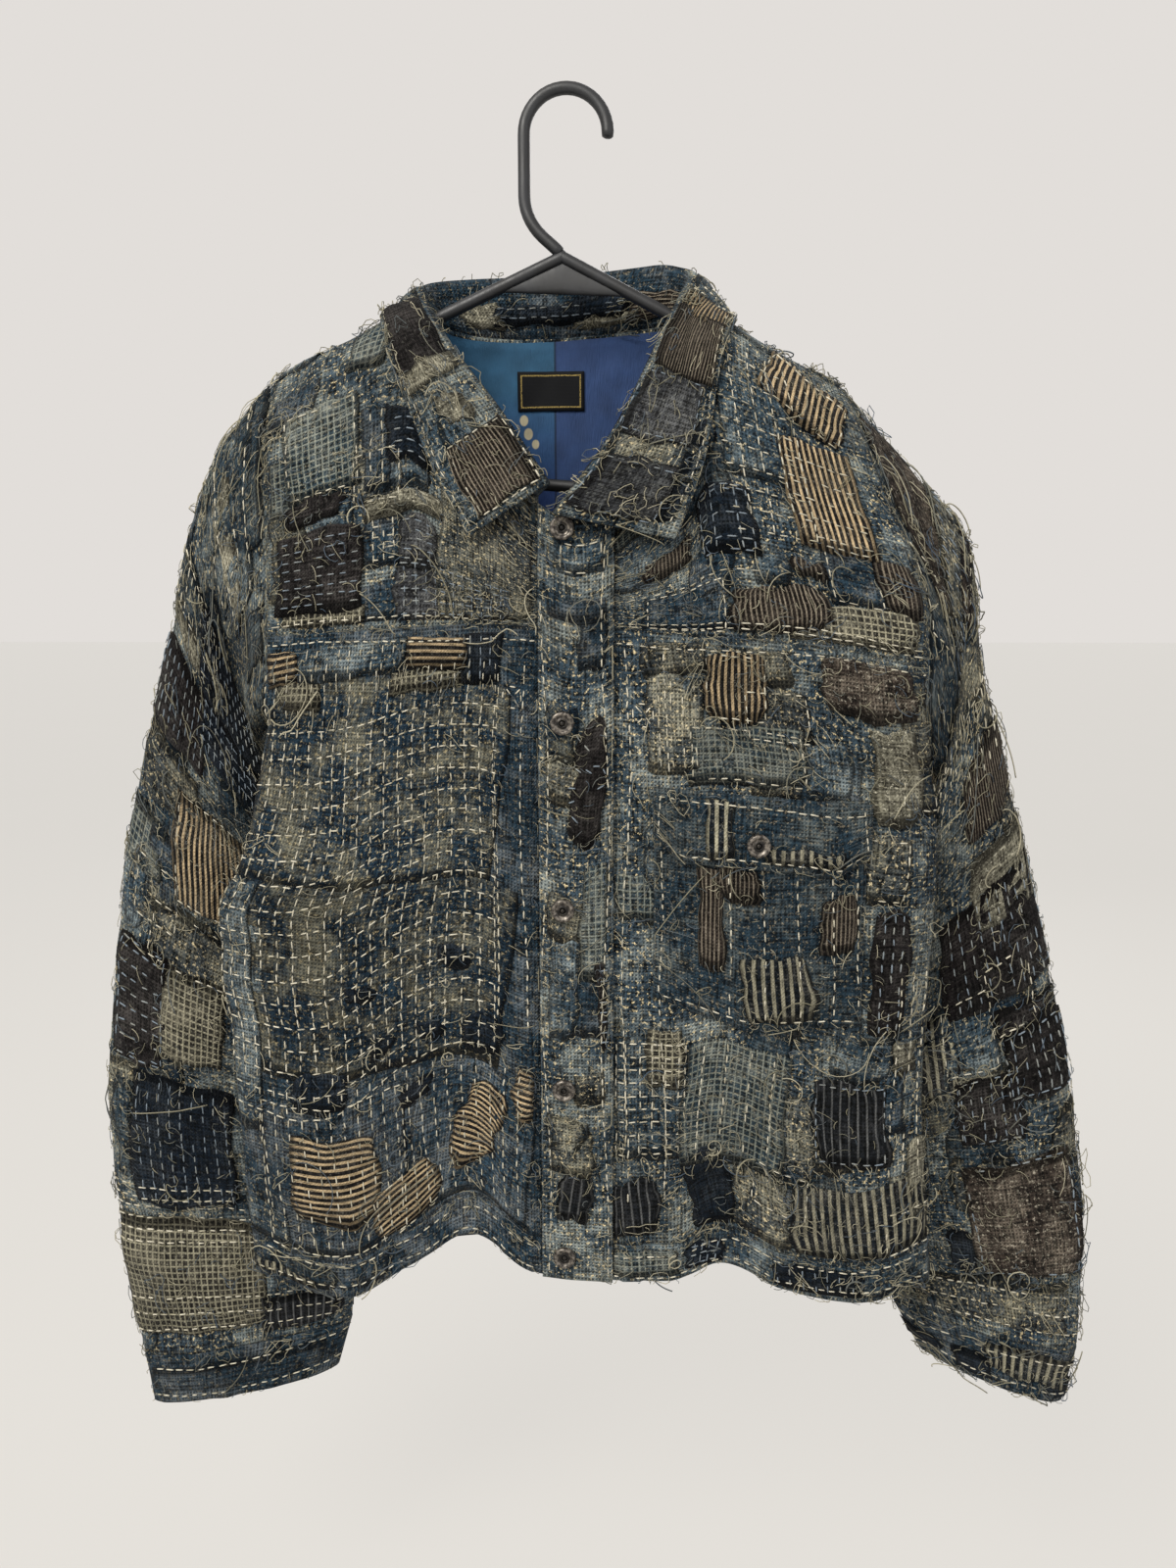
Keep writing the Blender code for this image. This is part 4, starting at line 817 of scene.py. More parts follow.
def wovenCotton(name, look):
    # washed plain-weave cotton: matt, a trace of fuzz, slubbed both ways, rubbed to bare yarn in clouds, dark at
    # its frayed edge, which is the fraying's dark gaps together with painted shade along a patch's raised edge; the
    # yarns on top are painted a little lighter than the gaps between them, as shade of the weave
    made, node, link = newMaterial(name, **{
        "Roughness": 0.95, "IOR": 1.5, "Specular IOR Level": 0.05, "Sheen Weight": 0.03, "Sheen Roughness": 0.5,
    })
    uv = node("VectorMath SCALE", node("UVMap", uv_map="cloth"), Scale=1000.0)
    place = node("TexCoord", output=3)
    tone, rim = (node("Attribute", output=2, attribute_name=k) for k in ("tone", "rim"))
    u, v = (node("SeparateXYZ", uv, output=k) for k in (0, 1))
    wide, long = weave["slubWide"], weave["slubLong"]
    warp, weft = (
        node("TexNoise", node("VectorMath MULTIPLY", uv, k), Scale=1.0, Detail=3.0, Roughness=0.6)
        for k in ((wide, long, 1), (long, wide, 1))
    )
    yarns = [node("Math SINE", node("Math MULTIPLY", k, 2 * np.pi / weave["every"])) for k in (u, v)]
    slub = node("Math ADD", warp, weft)
    over = node("Math MAXIMUM", *yarns)
    # the yarn on top painted a little lighter and the gaps between yarns darker: painted shade of the weave; the
    # slubs are the yarn's own tone
    shade = node("MapRange", node("Math MULTIPLY_ADD", over, 0.06, slub), 0.86, 1.3)
    colour = node("Mix", {0: shade, 6: look["dark"], 7: look["light"]}, **blend)
    if "stripe" in look:
        line = stripes(node, u, look["every"], look["wide"])
        if "crossed" in look:
            line = node("Math MAXIMUM", line, stripes(node, v, look["every"], look["wide"]))
        line = node("Math MULTIPLY", line, node("MapRange", warp, 0.35, 0.6, 0.35, 1.0))
        colour = node("Mix", {0: line, 6: colour, 7: look["stripe"]}, **blend)
        slub = node("Math MULTIPLY_ADD", line, 0.3, slub)
    cloud = node("TexNoise", place, Scale=weave["cloud"], Detail=6.0, Roughness=0.7)
    cloud = node("MapRange", cloud, 0.47, 0.62, 0.0, look["wornShare"])
    bare = node("MapRange", {0: node("Math MULTIPLY_ADD", over, 0.22, slub), 1: 0.95, 2: 1.3, 3: look["soft"]})
    colour = node("Mix", {0: node("Math MULTIPLY", cloud, bare), 6: colour, 7: look["worn"]}, **blend)
    speck = node("TexNoise", uv, Scale=weave["speck"], Detail=4.0, Roughness=0.7)
    speck = node("MapRange", speck, 0.56, 0.65, 0.0, look["flecks"])
    colour = node("Mix", {0: speck, 6: colour, 7: look["fleck"]}, **blend)
    dirt = node("MapRange", node("TexNoise", place, Scale=weave["dirt"], Detail=4.0), 0.35, 0.65, 0.8, 1.12)
    # a patch's edge painted darker: partly the dark gaps of its fraying, partly painted shade where the patch stands
    # off the cloth under it
    frayed = node("MapRange", node("Math MULTIPLY", rim, slub), 0.55, 0.95, 1.0, 0.3)
    bright = node("Math MULTIPLY", node("Math MULTIPLY_ADD", tone, 0.18, dirt), frayed)
    link(node("HueSaturation", Color=colour, Value=bright), "Base Color")
    height = node("Math MULTIPLY_ADD", node("Math MULTIPLY", *yarns), 0.2, slub)
    height = node("Math MULTIPLY_ADD", node("TexNoise", uv, Scale=0.11, Detail=3.0), 3.2, height)
    link(node("Bump", Height=height, Strength=weave["bump"], Distance=1.6 * mm), "Normal")
    return made


clothLooks = {name: wovenCotton(name + " cotton", dict(zip(clothKeys, look))) for name, look in cloths.items()}


def cottonYarn(name, pale, tan, blue):
    # spun cotton yarn, matt: undyed, tea-coloured or faded blue by each thread's own tone
    made, node, link = newMaterial(name, **{"Roughness": 0.9, "Specular IOR Level": 0.1, "Sheen Weight": 0.05})
    tone = node("Attribute", output=2, attribute_name="tone")
    colour = node("Mix", {0: node("MapRange", tone, 0.0, 0.55), 6: pale, 7: tan}, **blend)
    colour = node("Mix", {0: node("MapRange", tone, 0.55, 1.0), 6: colour, 7: blue}, **blend)
    soiled = node("TexNoise", node("TexCoord", output=3), Scale=260.0, Detail=2.0)
    soiled = node("MapRange", soiled, 0.3, 0.7, 0.72, 1.08)
    link(node("HueSaturation", Color=colour, Value=soiled), "Base Color")
    return made


stitchYarn = cottonYarn("sashiko cotton yarn", "#d3cdba", "#aaa38c", "#78838c")
looseYarn = cottonYarn("frayed cotton yarn", "#a6a08a", "#74705d", "#445260")
# Undyed spots on the lining (across, up, size in mm) and its middle seam.
liningDye = dict(spots=((-30, -195, 2.6), (-27, -204, 2.8), (-22, -211, 2.2), (-43, -197, 1.8)), seam=-8.1)


def dyedLining():
    # thin piece-dyed lawn: teal at the top and blue below on one side of the seam, slate blue on the other,
    # with a few undyed spots
    made, node, link = newMaterial("dyed lining lawn", **{
        "Roughness": 0.8, "Specular IOR Level": 0.3, "Sheen Weight": 0.1,
    })
    place = node("TexCoord", output=3)
    x, z = (node("SeparateXYZ", place, output=k) for k in (0, 2))
    wander = node("TexNoise", place, Scale=14.0, Detail=4.0)
    flat = node("VectorMath MULTIPLY", place, (1.0, 0.0, 0.8))
    share = node("MapRange", node("Math MULTIPLY_ADD", wander, 0.06, z), -0.22, -0.14)
    colour = node("Mix", {0: share, 6: "#1f3768", 7: "#29526f"}, **blend)
    seam = liningDye["seam"]
    share = node("MapRange", x, (seam - 0.2) * mm, (seam + 0.2) * mm)
    colour = node("Mix", {0: share, 6: colour, 7: "#263c64"}, **blend)
    spots = 0.0
    for left, low, size in liningDye["spots"]:
        off = node("VectorMath DISTANCE", flat, (left * mm, 0.0, low * 0.8 * mm), output=1)
        spots = node("Math MAXIMUM", node("MapRange", off, (size + 0.6) * mm, size * mm), spots)
    colour = node("Mix", {0: spots, 6: colour, 7: "#a79f86"}, **blend)
    cloud = node("MapRange", node("TexNoise", place, Scale=60.0, Detail=4.0), 0.3, 0.7, 0.75, 1.15)
    sewn = node("Math ABSOLUTE", node("Math ADD", x, -seam * mm))
    cloud = node("Math MULTIPLY", cloud, node("MapRange", sewn, 0.4 * mm, 1.1 * mm, 0.35, 1.0))
    link(node("HueSaturation", Color=colour, Value=cloud), "Base Color")
    yarn = node("TexNoise", node("VectorMath MULTIPLY", place, (1500.0, 1500.0, 120.0)), Scale=1.0)
    crumple = node("TexNoise", place, Scale=26.0, Detail=3.0)
    yarn = node("Math MULTIPLY_ADD", crumple, 5.0, yarn)
    link(node("Bump", Height=yarn, Strength=0.6, Distance=1.2 * mm), "Normal")
    return made


def damaskLabel(width, height, border=2.6):
    # a woven satin label left bare: black ground with fine ribs, one dull gold thread line near its edge
    made, node, link = newMaterial("black damask label", **{
        "Roughness": 0.7, "Specular IOR Level": 0.12, "Sheen Weight": 0.02,
    })
    uv = node("VectorMath SCALE", node("UVMap", uv_map="cloth"), Scale=1000.0)
    sides = [node("SeparateXYZ", uv, output=k) for k in (0, 1)]
    insides = [
        node("Math SUBTRACT", node("Math ABSOLUTE", node("Math SUBTRACT", side, size / 2)), size / 2 - border)
        for side, size in zip(sides, (width, height))
    ]
    line = node("MapRange", node("Math ABSOLUTE", node("Math MAXIMUM", *insides)), 0.55, 0.35)
    broken = node("MapRange", node("TexNoise", uv, Scale=1.2), 0.38, 0.48)
    line = node("Math MULTIPLY", line, broken)
    cloud = node("TexNoise", uv, Scale=1.6, Detail=3.0)
    ground = node("Mix", {0: cloud, 6: "#060708", 7: "#121316"}, **blend)
    link(node("Mix", {0: line, 6: ground, 7: "#8d7a46"}, **blend), "Base Color")
    ribbed = stripes(node, node("SeparateXYZ", uv, output=1), 0.9, 0.5)
    link(node("Bump", Height=ribbed, Strength=0.3, Distance=0.2 * mm), "Normal")
    return made


def antiqueBrass():
    # die-struck brass, blackened and rubbed back: a dull warm gloss on its rim, black in its sunk middle
    made, node, link = newMaterial("antique brass", Metallic=0.6)
    rubbed = node("TexNoise", node("TexCoord", output=3), Scale=420.0, Detail=4.0)
    share = node("MapRange", rubbed, 0.42, 0.7)
    colour = node("Mix", {0: share, 6: "#34302d", 7: "#8f877c"}, **blend)
    sunk = node("MapRange", node("Attribute", output=2, attribute_name="tone"), 0.4, 0.56, 0.2, 1.0)
    link(node("HueSaturation", Color=colour, Value=sunk), "Base Color")
    link(node("MapRange", rubbed, 0.3, 0.7, 0.55, 0.36), "Roughness")
    link(node("Bump", Height=rubbed, Strength=0.2, Distance=0.15 * mm), "Normal")
    return made


def mouldedPolystyrene(name, dark, light, gloss):
    # injection-moulded polystyrene: near black and semi-matt, faintly cloudy, with fine scuffs along it
    made, node, link = newMaterial(name, IOR=1.55)
    place = node("TexCoord", output=3)
    cloud = node("MapRange", node("TexNoise", place, Scale=55.0, Detail=4.0), 0.35, 0.7)
    link(node("Mix", {0: cloud, 6: dark, 7: light}, **blend), "Base Color")
    scuffs = node("VectorMath MULTIPLY", place, (300.0, 300.0, 60.0))
    scuffs = node("TexNoise", scuffs, Scale=1.0, Detail=4.0)
    link(node("MapRange", scuffs, 0.35, 0.75, gloss, gloss + 0.18), "Roughness")
    grain = node("TexNoise", place, Scale=900.0)
    link(node("Bump", Height=grain, Strength=0.12, Distance=0.1 * mm), "Normal")
    return made


print("cloth and yarn materials made:", len(cloths) + 2)

# Patches that show, by piece: distance across and up to the middle, width, height (mm), turn (degrees), how
# round (0 to 1), cloth, layer, how frayed (0 to 3), and the stitching with its spacing where there is any.
patchRows = dict(
    yoke_right="""
      42 126 52 62 3 .1 plaid 1 1, 99 80 60 15 4 .2 cream 1 1, 36 87 42 18 0 .5 charcoal 1 2,
      39 43 61 57 0 .1 charcoal 2 1 rows 6.5, 107 55 30 34 0 .6 felt 2 2 rows 6,
      138 22 97 47 0 .1 felt 0 1 grid 8, 166 57 87 111 0 .2 tweed 1 3, 41 8 58 15 0 .1 check 1 1 columns 5,
      79 116 20 53 0 .1 indigo 0 1 columns 8, 96 96 38 17 0 .2 denim 0 1,
      82 57 25 36 0 .2 indigo 0 2 grid 7, 102 121 29 35 0 .1 navy 1 1 rows 7
    """,
    front_right="""
      81 401 89 24 0 .1 denim 1 1 columns 9, 152 401 50 23 -4 .1 ribsAcross 2 1,
      145 384 61 14 0 .1 check 1 1, 24 397 24 24 8 .1 ribsAcross 1 1, 41 379 35 18 0 .3 check 1 1,
      110 319 195 138 -6 .05 sashiko 0 1, 112 187 203 132 -6 .05 sashiko 0 1, 18 170 29 172 0 .05 denim 1 1,
      81 55 109 109 0 .05 indigo 0 1, 183 35 94 151 -8 .05 indigo 0 1, 72 117 40 26 0 .5 navy 1 3,
      195 135 29 28 0 .6 navy 1 3, 159 139 19 15 0 .6 navy 1 3, 177 188 20 17 0 .6 navy 1 2,
      119 139 20 14 0 .6 navy 1 3, 107 180 21 12 0 .6 navy 1 2, 144 99 22 18 0 .6 navy 1 3,
      82 55 62 62 -3 .35 ribsAcross 1 3, 133 22 48 44 14 .55 ribsAcross 1 3,
      188 62 31 77 -18 .75 ribsAcross 1 3, 223 101 13 44 0 .6 ribsAcross 1 3, 27 7 38 48 0 .2 denim 1 2,
      190 397 33 36 0 .1 navy 1 1 columns 8, 28 202 25 54 0 .1 denim 0 1
    """,
    hem_right="""
      31 2 52 22 0 .05 stripe 1 1
    """,
    yoke_left="""
      181 85 53 46 0 .2 denim 0 1, 88 137 51 65 0 .1 denim 0 1, 120 76 38 45 0 .2 navy 1 2 grid 15,
      49 104 53 75 0 .1 ribs 2 1 rows 13, 73 51 19 14 0 .2 brownRibs 1 2, 93 21 58 31 -4 .45 brownRibs 2 3,
      169 70 38 22 0 .2 brownRibs 1 2, 95 47 22 22 0 .2 denim 0 1, 16 51 23 40 0 .2 brownRibs 1 2,
      48 15 83 31 -5 .1 check 1 1, 44 52 36 42 0 .1 indigo 0 2, 155 16 66 50 0 .05 indigo 0 1,
      46 174 63 41 25 .1 ribs 1 2
    """,
    front_left="""
      215 26 47 38 -6 .2 pinstripe 1 3, 157 30 32 64 -10 .5 navy 1 3, 140 372 45 45 0 .6 ribs 1 3,
      49 386 69 44 -3 .45 brownTweed 2 2, 82 325 30 39 0 .2 denim 1 1, 37 327 33 65 0 .3 cream 1 3,
      182 347 40 61 0 .1 tweed 0 1 columns 8, 135 329 78 38 0 .1 plaid 0 2,
      40 202 24 86 0 .35 charcoal 1 3 columns 6, 188 130 24 43 0 .2 check 1 2,
      141 94 71 88 4 .1 plaid 1 2 columns 16, 62 98 51 57 0 .25 pinstripe 1 3, 54 26 98 57 -3 .1 stripe 1 2,
      26 142 20 21 0 .2 cream 1 2, 12 54 23 57 0 .2 cream 1 2, 122 18 39 72 0 .2 tweed 0 3,
      198 102 53 82 0 .1 denim 0 2 grid 9, 102 80 33 61 0 .3 tweed 0 3
    """,
    hem_left="""
      221 16 62 34 -2 .1 plaid 1 1, 171 12 30 31 12 .1 navy 2 2 grid 6,
      89 8 66 32 -3 .15 navy 1 2 columns 9, 35 0 44 23 -4 .1 denim 1 1
    """,
    band="""
      28 487 31 22 0 .05 denim 0 1 border, 51 454 92 14 0 .05 indigo 1 0,
      38 345 33 82 -6 .75 charcoal 1 3 random, 20 97 29 42 0 .2 tweed 0 3, 23 61 21 35 -8 .15 pinstripe 1 2,
      16 207 20 67 0 .1 denim 0 2, 43 254 31 78 0 .2 plaid 0 2, 47 197 16 60 0 .4 charcoal 1 2 rows 7
    """,
    pocket="""
      38 71 19 70 0 .1 brownRibs 1 1, 55 98 30 26 0 .7 brownRibs 1 3, 124 71 30 42 0 .55 brownRibs 1 3,
      83 25 47 51 5 .4 stripe 1 3
    """,
    flap="""
      45 24 18 51 0 .05 stripe 1 1, 100 6 53 17 0 .05 stripe 1 1
    """,
    sleeve_front_right="""
      37 21 130 49 0 .1 greenBlue 1 1, 61 36 130 38 0 .1 denim 1 2, 82 44 80 24 0 .4 cream 1 2,
      34 116 104 34 0 .1 greenBlue 1 1 columns 6, 43 136 108 17 0 .2 cream 1 3,
      40 175 71 44 0 .1 charcoal 1 2 columns 6, 105 121 95 53 -3 .1 navy 2 2 columns 7,
      109 164 89 36 0 .1 navy 1 2 grid 7, 89 251 73 74 -4 .15 ribs 1 2, 45 221 53 41 0 .1 tweed 1 2,
      37 363 41 75 0 .1 charcoal 1 2 rows 9, 78 357 48 60 0 .1 check 1 2, 71 313 66 37 0 .1 tweed 0 3,
      69 448 75 89 0 .1 navy 2 3 columns 8, 66 544 116 81 0 .1 check 1 1, 150 576 64 31 0 .1 pinstripe 2 2,
      25 444 17 60 0 .1 denim 0 2
    """,
    cuff_right="""
      78 19 132 20 0 .1 indigo 1 0, 66 46 55 13 0 .3 navy 1 1
    """,
    sleeve_front_left="""
      101 349 28 65 0 .2 stripe 0 2, 22 42 130 96 35 .1 brownTweed 1 3, 40 72 130 22 0 .1 tweed 2 3,
      55 78 129 33 0 .1 charcoal 1 3 columns 6, 27 206 75 42 0 .2 brownRibs 1 3,
      58 126 130 69 0 .1 tweed 0 3, 31 263 56 46 0 .1 cream 1 2, 46 295 90 64 0 .1 charcoal 1 2 columns 8,
      34 340 46 18 0 .1 charcoal 1 3, 32 368 49 43 0 .2 charcoal 2 3 columns 7,
      69 391 45 48 0 .2 charcoal 1 3 columns 7, 77 339 40 52 0 .1 denim 0 2,
      53 467 74 80 4 .1 brownTweed 2 2, 99 492 21 30 0 .4 navy 1 3, 84 527 122 32 0 .1 tweed 0 3,
      146 18 106 119 0 .1 greenBlue 0 2
    """,
    cuff_left="""
      116 23 22 15 0 .3 navy 1 2, 9 37 40 30 0 .2 navy 1 1, 42 14 62 26 -4 .2 stripe 2 3,
      82 30 30 20 0 .3 navy 1 2
    """,
    collar_fall="""
      128 35 62 60 0 .1 charcoal 1 2, 100 36 12 66 6 .1 cream 2 2, 72 30 22 26 0 .5 cream 1 3,
      62 40 40 40 0 .2 denim 0 1, 27 27 52 56 0 .1 brownRibsAcross 2 2, 44 58 62 22 0 .1 denim 0 1,
      12 40 18 50 0 .1 denim 0 2, 506 36 46 66 0 .1 brownRibsAcross 1 2, 476 36 26 66 0 .1 ribsAcross 1 1,
      550 30 44 56 0 .15 felt 1 2, 606 30 40 52 0 .2 felt 1 3, 578 34 26 66 0 .3 tweed 0 3,
      585 62 70 14 0 .1 navy 0 2, 452 36 26 64 0 .1 denim 0 2 columns 7, 186 36 50 64 0 .1 denim 0 2,
      236 34 44 60 0 .2 tweed 1 2, 290 36 56 58 0 .1 indigo 0 1 rows 8, 348 34 50 56 0 .3 check 1 2,
      400 36 52 62 0 .1 brownTweed 0 2
    """,
    collar_stand="""
      268 16 96 15 0 .1 navy 1 2 rows 6, 212 14 28 22 0 .3 cream 1 3, 344 14 52 22 0 .1 brownRibsAcross 1 2,
      306 8 60 8 0 .2 cream 0 3, 150 14 60 22 0 .1 denim 0 1, 410 14 60 22 0 .1 indigo 0 1
    """,
)
patchRows = {name: rowsOf(text) for name, text in patchRows.items()}

# How the patches are sewn on. Lengths are mm: cell is the spacing of a patch's points, thick its cloth,
# layer how much higher each further layer lies; stitches are long and pitch apart, dim the tone of those on
# dark cloth; frays have one thread every so many mm of outline for each amount of fraying; rim is how wide the
# edge is painted darker, for the dark gaps of the fraying and as painted shade along the patch's raised edge.
# A frayed edge curls up by a steady height and two waves, and is thinned; puff is how far cloth bulges.
# Patches narrower than least are left out; stitches start inset from the edge, and kept is the share of them
# that are still there, runKept of those over a whole piece. Scattered stitches reach so far, and of
# the patches with a greater half-side some get a border. under is the layer of the scraps below the listed patches.
dressing = dict(
    cell=5.8, thick=0.7, layer=0.8, gap=0.2, margin=2.0, wave=1.7, least=6.0, inset=2.5, reach=14.0,
    curl=(0.18, 0.16, 0.12), puff=0.25, thinned=0.45, kept=0.85, runKept=0.95, under=-0.25,
    stitch=6.0, pitch=7.4, stitchWide=1.1, stitchHigh=0.8,
    frays={0: None, 1: 16.0, 2: 10.0, 3: 6.2}, thread=0.27, rim=9.0, dim=0.8, droop=0.12,
)


def squeezed(value, limit, span=12.0):
    # presses what would reach past the piece's edge back inside it, without folding it over
    low = dressing["margin"]
    high = limit - low
    value = np.where(value > high - span, high - span + span * np.tanh((value - high + span) / span), value)
    return np.where(value < low + span, low + span - span * np.tanh((low + span - value) / span), value)


def spinOf(turn):
    # the matrix that turns rows of across and up by degrees
    turned = np.radians(turn)
    return np.array([[np.cos(turned), np.sin(turned)], [-np.sin(turned), np.cos(turned)]])


def patchShape(row, s, t, dice):
    # s and t from -1 to 1 across the patch: a rectangle whose corners round off towards an oval, with an
    # outline that wanders by three sines of the angle, turned about its middle
    across, up, width, height, turn, rounding = row[:6]
    ovalS, ovalT = s * np.sqrt(1 - t * t / 2), t * np.sqrt(1 - s * s / 2)
    a, b = s + (ovalS - s) * rounding, t + (ovalT - t) * rounding
    angle, reach = np.arctan2(t, s), np.maximum(np.abs(s), np.abs(t))
    wander = sum(np.sin(angle * k + dice.uniform(0, 6.3)) * dice.uniform(0.3, 1) / k**0.5 for k in (2, 5, 9))
    wander = wander * dressing["wave"] * reach**3 * (1 + 0.5 * row[8])
    turned = np.radians(turn)
    x, y = a * (width / 2 + wander), b * (height / 2 + wander)
    return across + x * np.cos(turned) - y * np.sin(turned), up + x * np.sin(turned) + y * np.cos(turned)


def clippedRow(row, panel):
    # the patch cut off at the piece's edges
    across, up, width, height = row[:4]
    ends = []
    for middle, size, limit in ((across, width, panel.across[-1]), (up, height, panel.up[-1])):
        low = max(middle - size / 2, dressing["margin"])
        high = min(middle + size / 2, limit - dressing["margin"])
        ends.append((low, high))
    (x1, x2), (y1, y2) = ends
    return ((x1 + x2) / 2, (y1 + y2) / 2, x2 - x1, y2 - y1, *row[4:])


def bottomOf(panel, row, index):
    # where a patch's underside lies, a hair off its neighbours' so that no two are level
    return panel.wall / 2 + dressing["gap"] + dressing["layer"] * row[7] + 0.02 * (index % 9)


def patchWall(panel, row, index, dice):
    # a patch as a closed thin wall on its piece's face: points, faces, cloth coordinates, tone, nearness to rim
    width, height = row[2:4]
    cloth, _, fray = row[6:9]
    columns, rows = (max(4, int(np.ceil(size / dressing["cell"])) + 1) for size in (width, height))
    s, t = np.meshgrid(np.linspace(-1, 1, columns), np.linspace(-1, 1, rows))
    x, y = patchShape(row, s, t, dice)
    x, y = squeezed(x, panel.across[-1]), squeezed(y, panel.up[-1])
    low = bottomOf(panel, row, index)
    out = np.maximum(np.abs(s), np.abs(t))
    edge = np.clip((out - 0.8) / 0.2, 0, 1) ** 2
    angle = np.arctan2(t, s)
    steady, slow, quick = dressing["curl"]
    curl = edge * fray * (steady + slow * np.sin(angle * 3 + index) + quick * np.sin(angle * 7 + 2 * index))
    puff = dressing["puff"] * (1 - edge) * np.sin(x / 4.7 + index) * np.sin(y / 5.3)
    bottom = low + np.maximum(curl, 0)
    top = bottom + dressing["thick"] * (1 - dressing["thinned"] * edge) + np.maximum(puff, -0.2)
    outer, normal = onPanel(panel, x, y, top)
    inner = onPanel(panel, x, y, bottom)[0]
    faces = wallFaces(rows, columns)[0]
    if not facesOutward(outer, normal):
        faces = faces[:, ::-1]
    u, v = s * width / 2, t * height / 2
    if cloth.endswith("Across"):
        u, v = v, u
    uv = np.tile(together(u, v).reshape(-1, 2) + dice.uniform(0, 400, 2), (2, 1))
    points = np.concatenate([outer.reshape(-1, 3), inner.reshape(-1, 3)])
    # nearness to the outline, which the cloth turns into a darker edge: the fraying's dark gaps and painted shade
    # along the patch's edge
    share = dressing["rim"] / max(width, height)
    rim = np.tile(np.clip((out - 1 + share) / share, 0, 1), 2)
    return points, faces, uv, np.full(len(points), dice.uniform(-1, 1)), rim.ravel()


def topOver(panel, rows, across, up):
    # how far above the middle surface the highest patch reaches there
    top = np.full(np.shape(across), panel.wall / 2)
    for index, row in enumerate(rows):
        turned = np.radians(row[4])
        x, y = across - row[0], up - row[1]
        s = np.abs(x * np.cos(turned) + y * np.sin(turned)) / (row[2] / 2)
        t = np.abs(y * np.cos(turned) - x * np.sin(turned)) / (row[3] / 2)
        inside = np.maximum(s, t) + row[5] * 0.4 * s * t < 1
        top = np.where(inside, np.maximum(top, bottomOf(panel, row, index) + dressing["thick"]), top)
    return top


def patchRuns(row, dice):
    # the stitch lines of one patch in its piece's coordinates: start, end, and how much duller the yarn is
    across, up, width, height, turn, _, cloth = row[:7]
    kind, every = (*row[9:], "", 0)[:2]
    w, h = width / 2 - dressing["inset"], height / 2 - dressing["inset"]
    lines = []
    if kind in ("rows", "grid"):
        lines += [((-w, y), (w, y)) for y in np.arange(-h + every / 2, h, every)]
    if kind in ("columns", "grid"):
        lines += [((x, -h), (x, h)) for x in np.arange(-w + every / 2, w, every)]
    if kind == "random":
        spots = dice.uniform(-0.7, 0.7, (9, 2)) * (w, h)
        lines += [(p, p + dice.uniform(-dressing["reach"], dressing["reach"], 2)) for p in spots]
    if kind == "border" or (min(w, h) > dressing["reach"] and (across + up) % 4 < 1):
        lines += [((-w, -h), (w, -h)), ((w, -h), (w, h)), ((w, h), (-w, h)), ((-w, h), (-w, -h))]
    spin = spinOf(turn)
    dim = dressing["dim"] if cloth in ("charcoal", "navy", "brownTweed", "pinstripe", "felt") else 0.0
    return [(np.array(a) @ spin + (across, up), np.array(b) @ spin + (across, up), dim) for a, b in lines]


def stitchesOf(lines, dice, keep, wobble=0.35):
    # running stitches along straight lines: their middles, directions and dullness, unevenly set, some lost
    starts, ends = (np.array([line[k] for line in lines]) for k in (0, 1))
    lengths = np.linalg.norm(ends - starts, axis=1)
    counts = np.maximum((lengths / dressing["pitch"]).astype(int), 1)
    line = np.repeat(np.arange(len(lines)), counts)
    nth = np.arange(len(line)) - np.repeat(np.cumsum(counts) - counts, counts)
    share = (nth + 0.5 + dice.uniform(-0.07, 0.07, len(line))) / counts[line]
    way = (ends - starts) / np.maximum(lengths, 1e-6)[:, None]
    middle = starts[line] + (ends - starts)[line] * share[:, None] + dice.uniform(-wobble, wobble, (len(line), 2))
    turned = np.arctan2(way[line, 1], way[line, 0]) + dice.normal(0, 0.06, len(line))
    kept = dice.uniform(size=len(line)) < keep
    return middle[kept], turned[kept], np.array([k[2] for k in lines])[line][kept]


def stitchMesh(panel, middles, turned, dull, lifts, dice):
    # each stitch a grain of eight points: two ends in the cloth and two triangles of thread between them
    long = dressing["stitch"] / 2 * dice.uniform(0.75, 1.15, len(middles))[:, None]
    wide, high = dressing["stitchWide"] / 2, dressing["stitchHigh"]
    along = np.array([-1, -0.62, -0.62, -0.62, 0.62, 0.62, 0.62, 1])
    side = np.array([0, -1, 1, 0, -1, 1, 0, 0]) * wide
    above = np.array([-0.15, 0.05, 0.05, 1, 0.05, 0.05, 1, -0.15]) * high
    cos, sin = np.cos(turned)[:, None], np.sin(turned)[:, None]
    across = middles[:, :1] + along * long * cos - side * sin
    up = middles[:, 1:] + along * long * sin + side * cos
    inside = ((across > 1) & (across < panel.across[-1] - 1) & (up > 1) & (up < panel.up[-1] - 1)).all(axis=1)
    points = onPanel(panel, across[inside], up[inside], (lifts[:, None] + above)[inside])[0]
    body = np.array([(0, 2, 1), (0, 3, 2), (0, 1, 3), (7, 4, 5), (7, 5, 6), (7, 6, 4),
                     (1, 2, 5), (1, 5, 4), (2, 3, 6), (2, 6, 5), (3, 1, 4), (3, 4, 6)])
    first = np.arange(inside.sum()) * 8
    faces = (body[None] + first[:, None, None]).reshape(-1, 3)
    if len(first):
        middle = points[:, 1:7].mean(axis=1)
        front = points[0][body[3]]
        outward = np.cross(front[1] - front[0], front[2] - front[0]) @ (points[0, 7] - middle[0])
        faces = faces if outward > 0 else faces[:, ::-1]
    tone = np.repeat(np.clip(dice.beta(1.2, 3.2, inside.sum()) * 0.8 + dull[inside], 0, 1), 8)
    return points.reshape(-1, 3), faces, tone


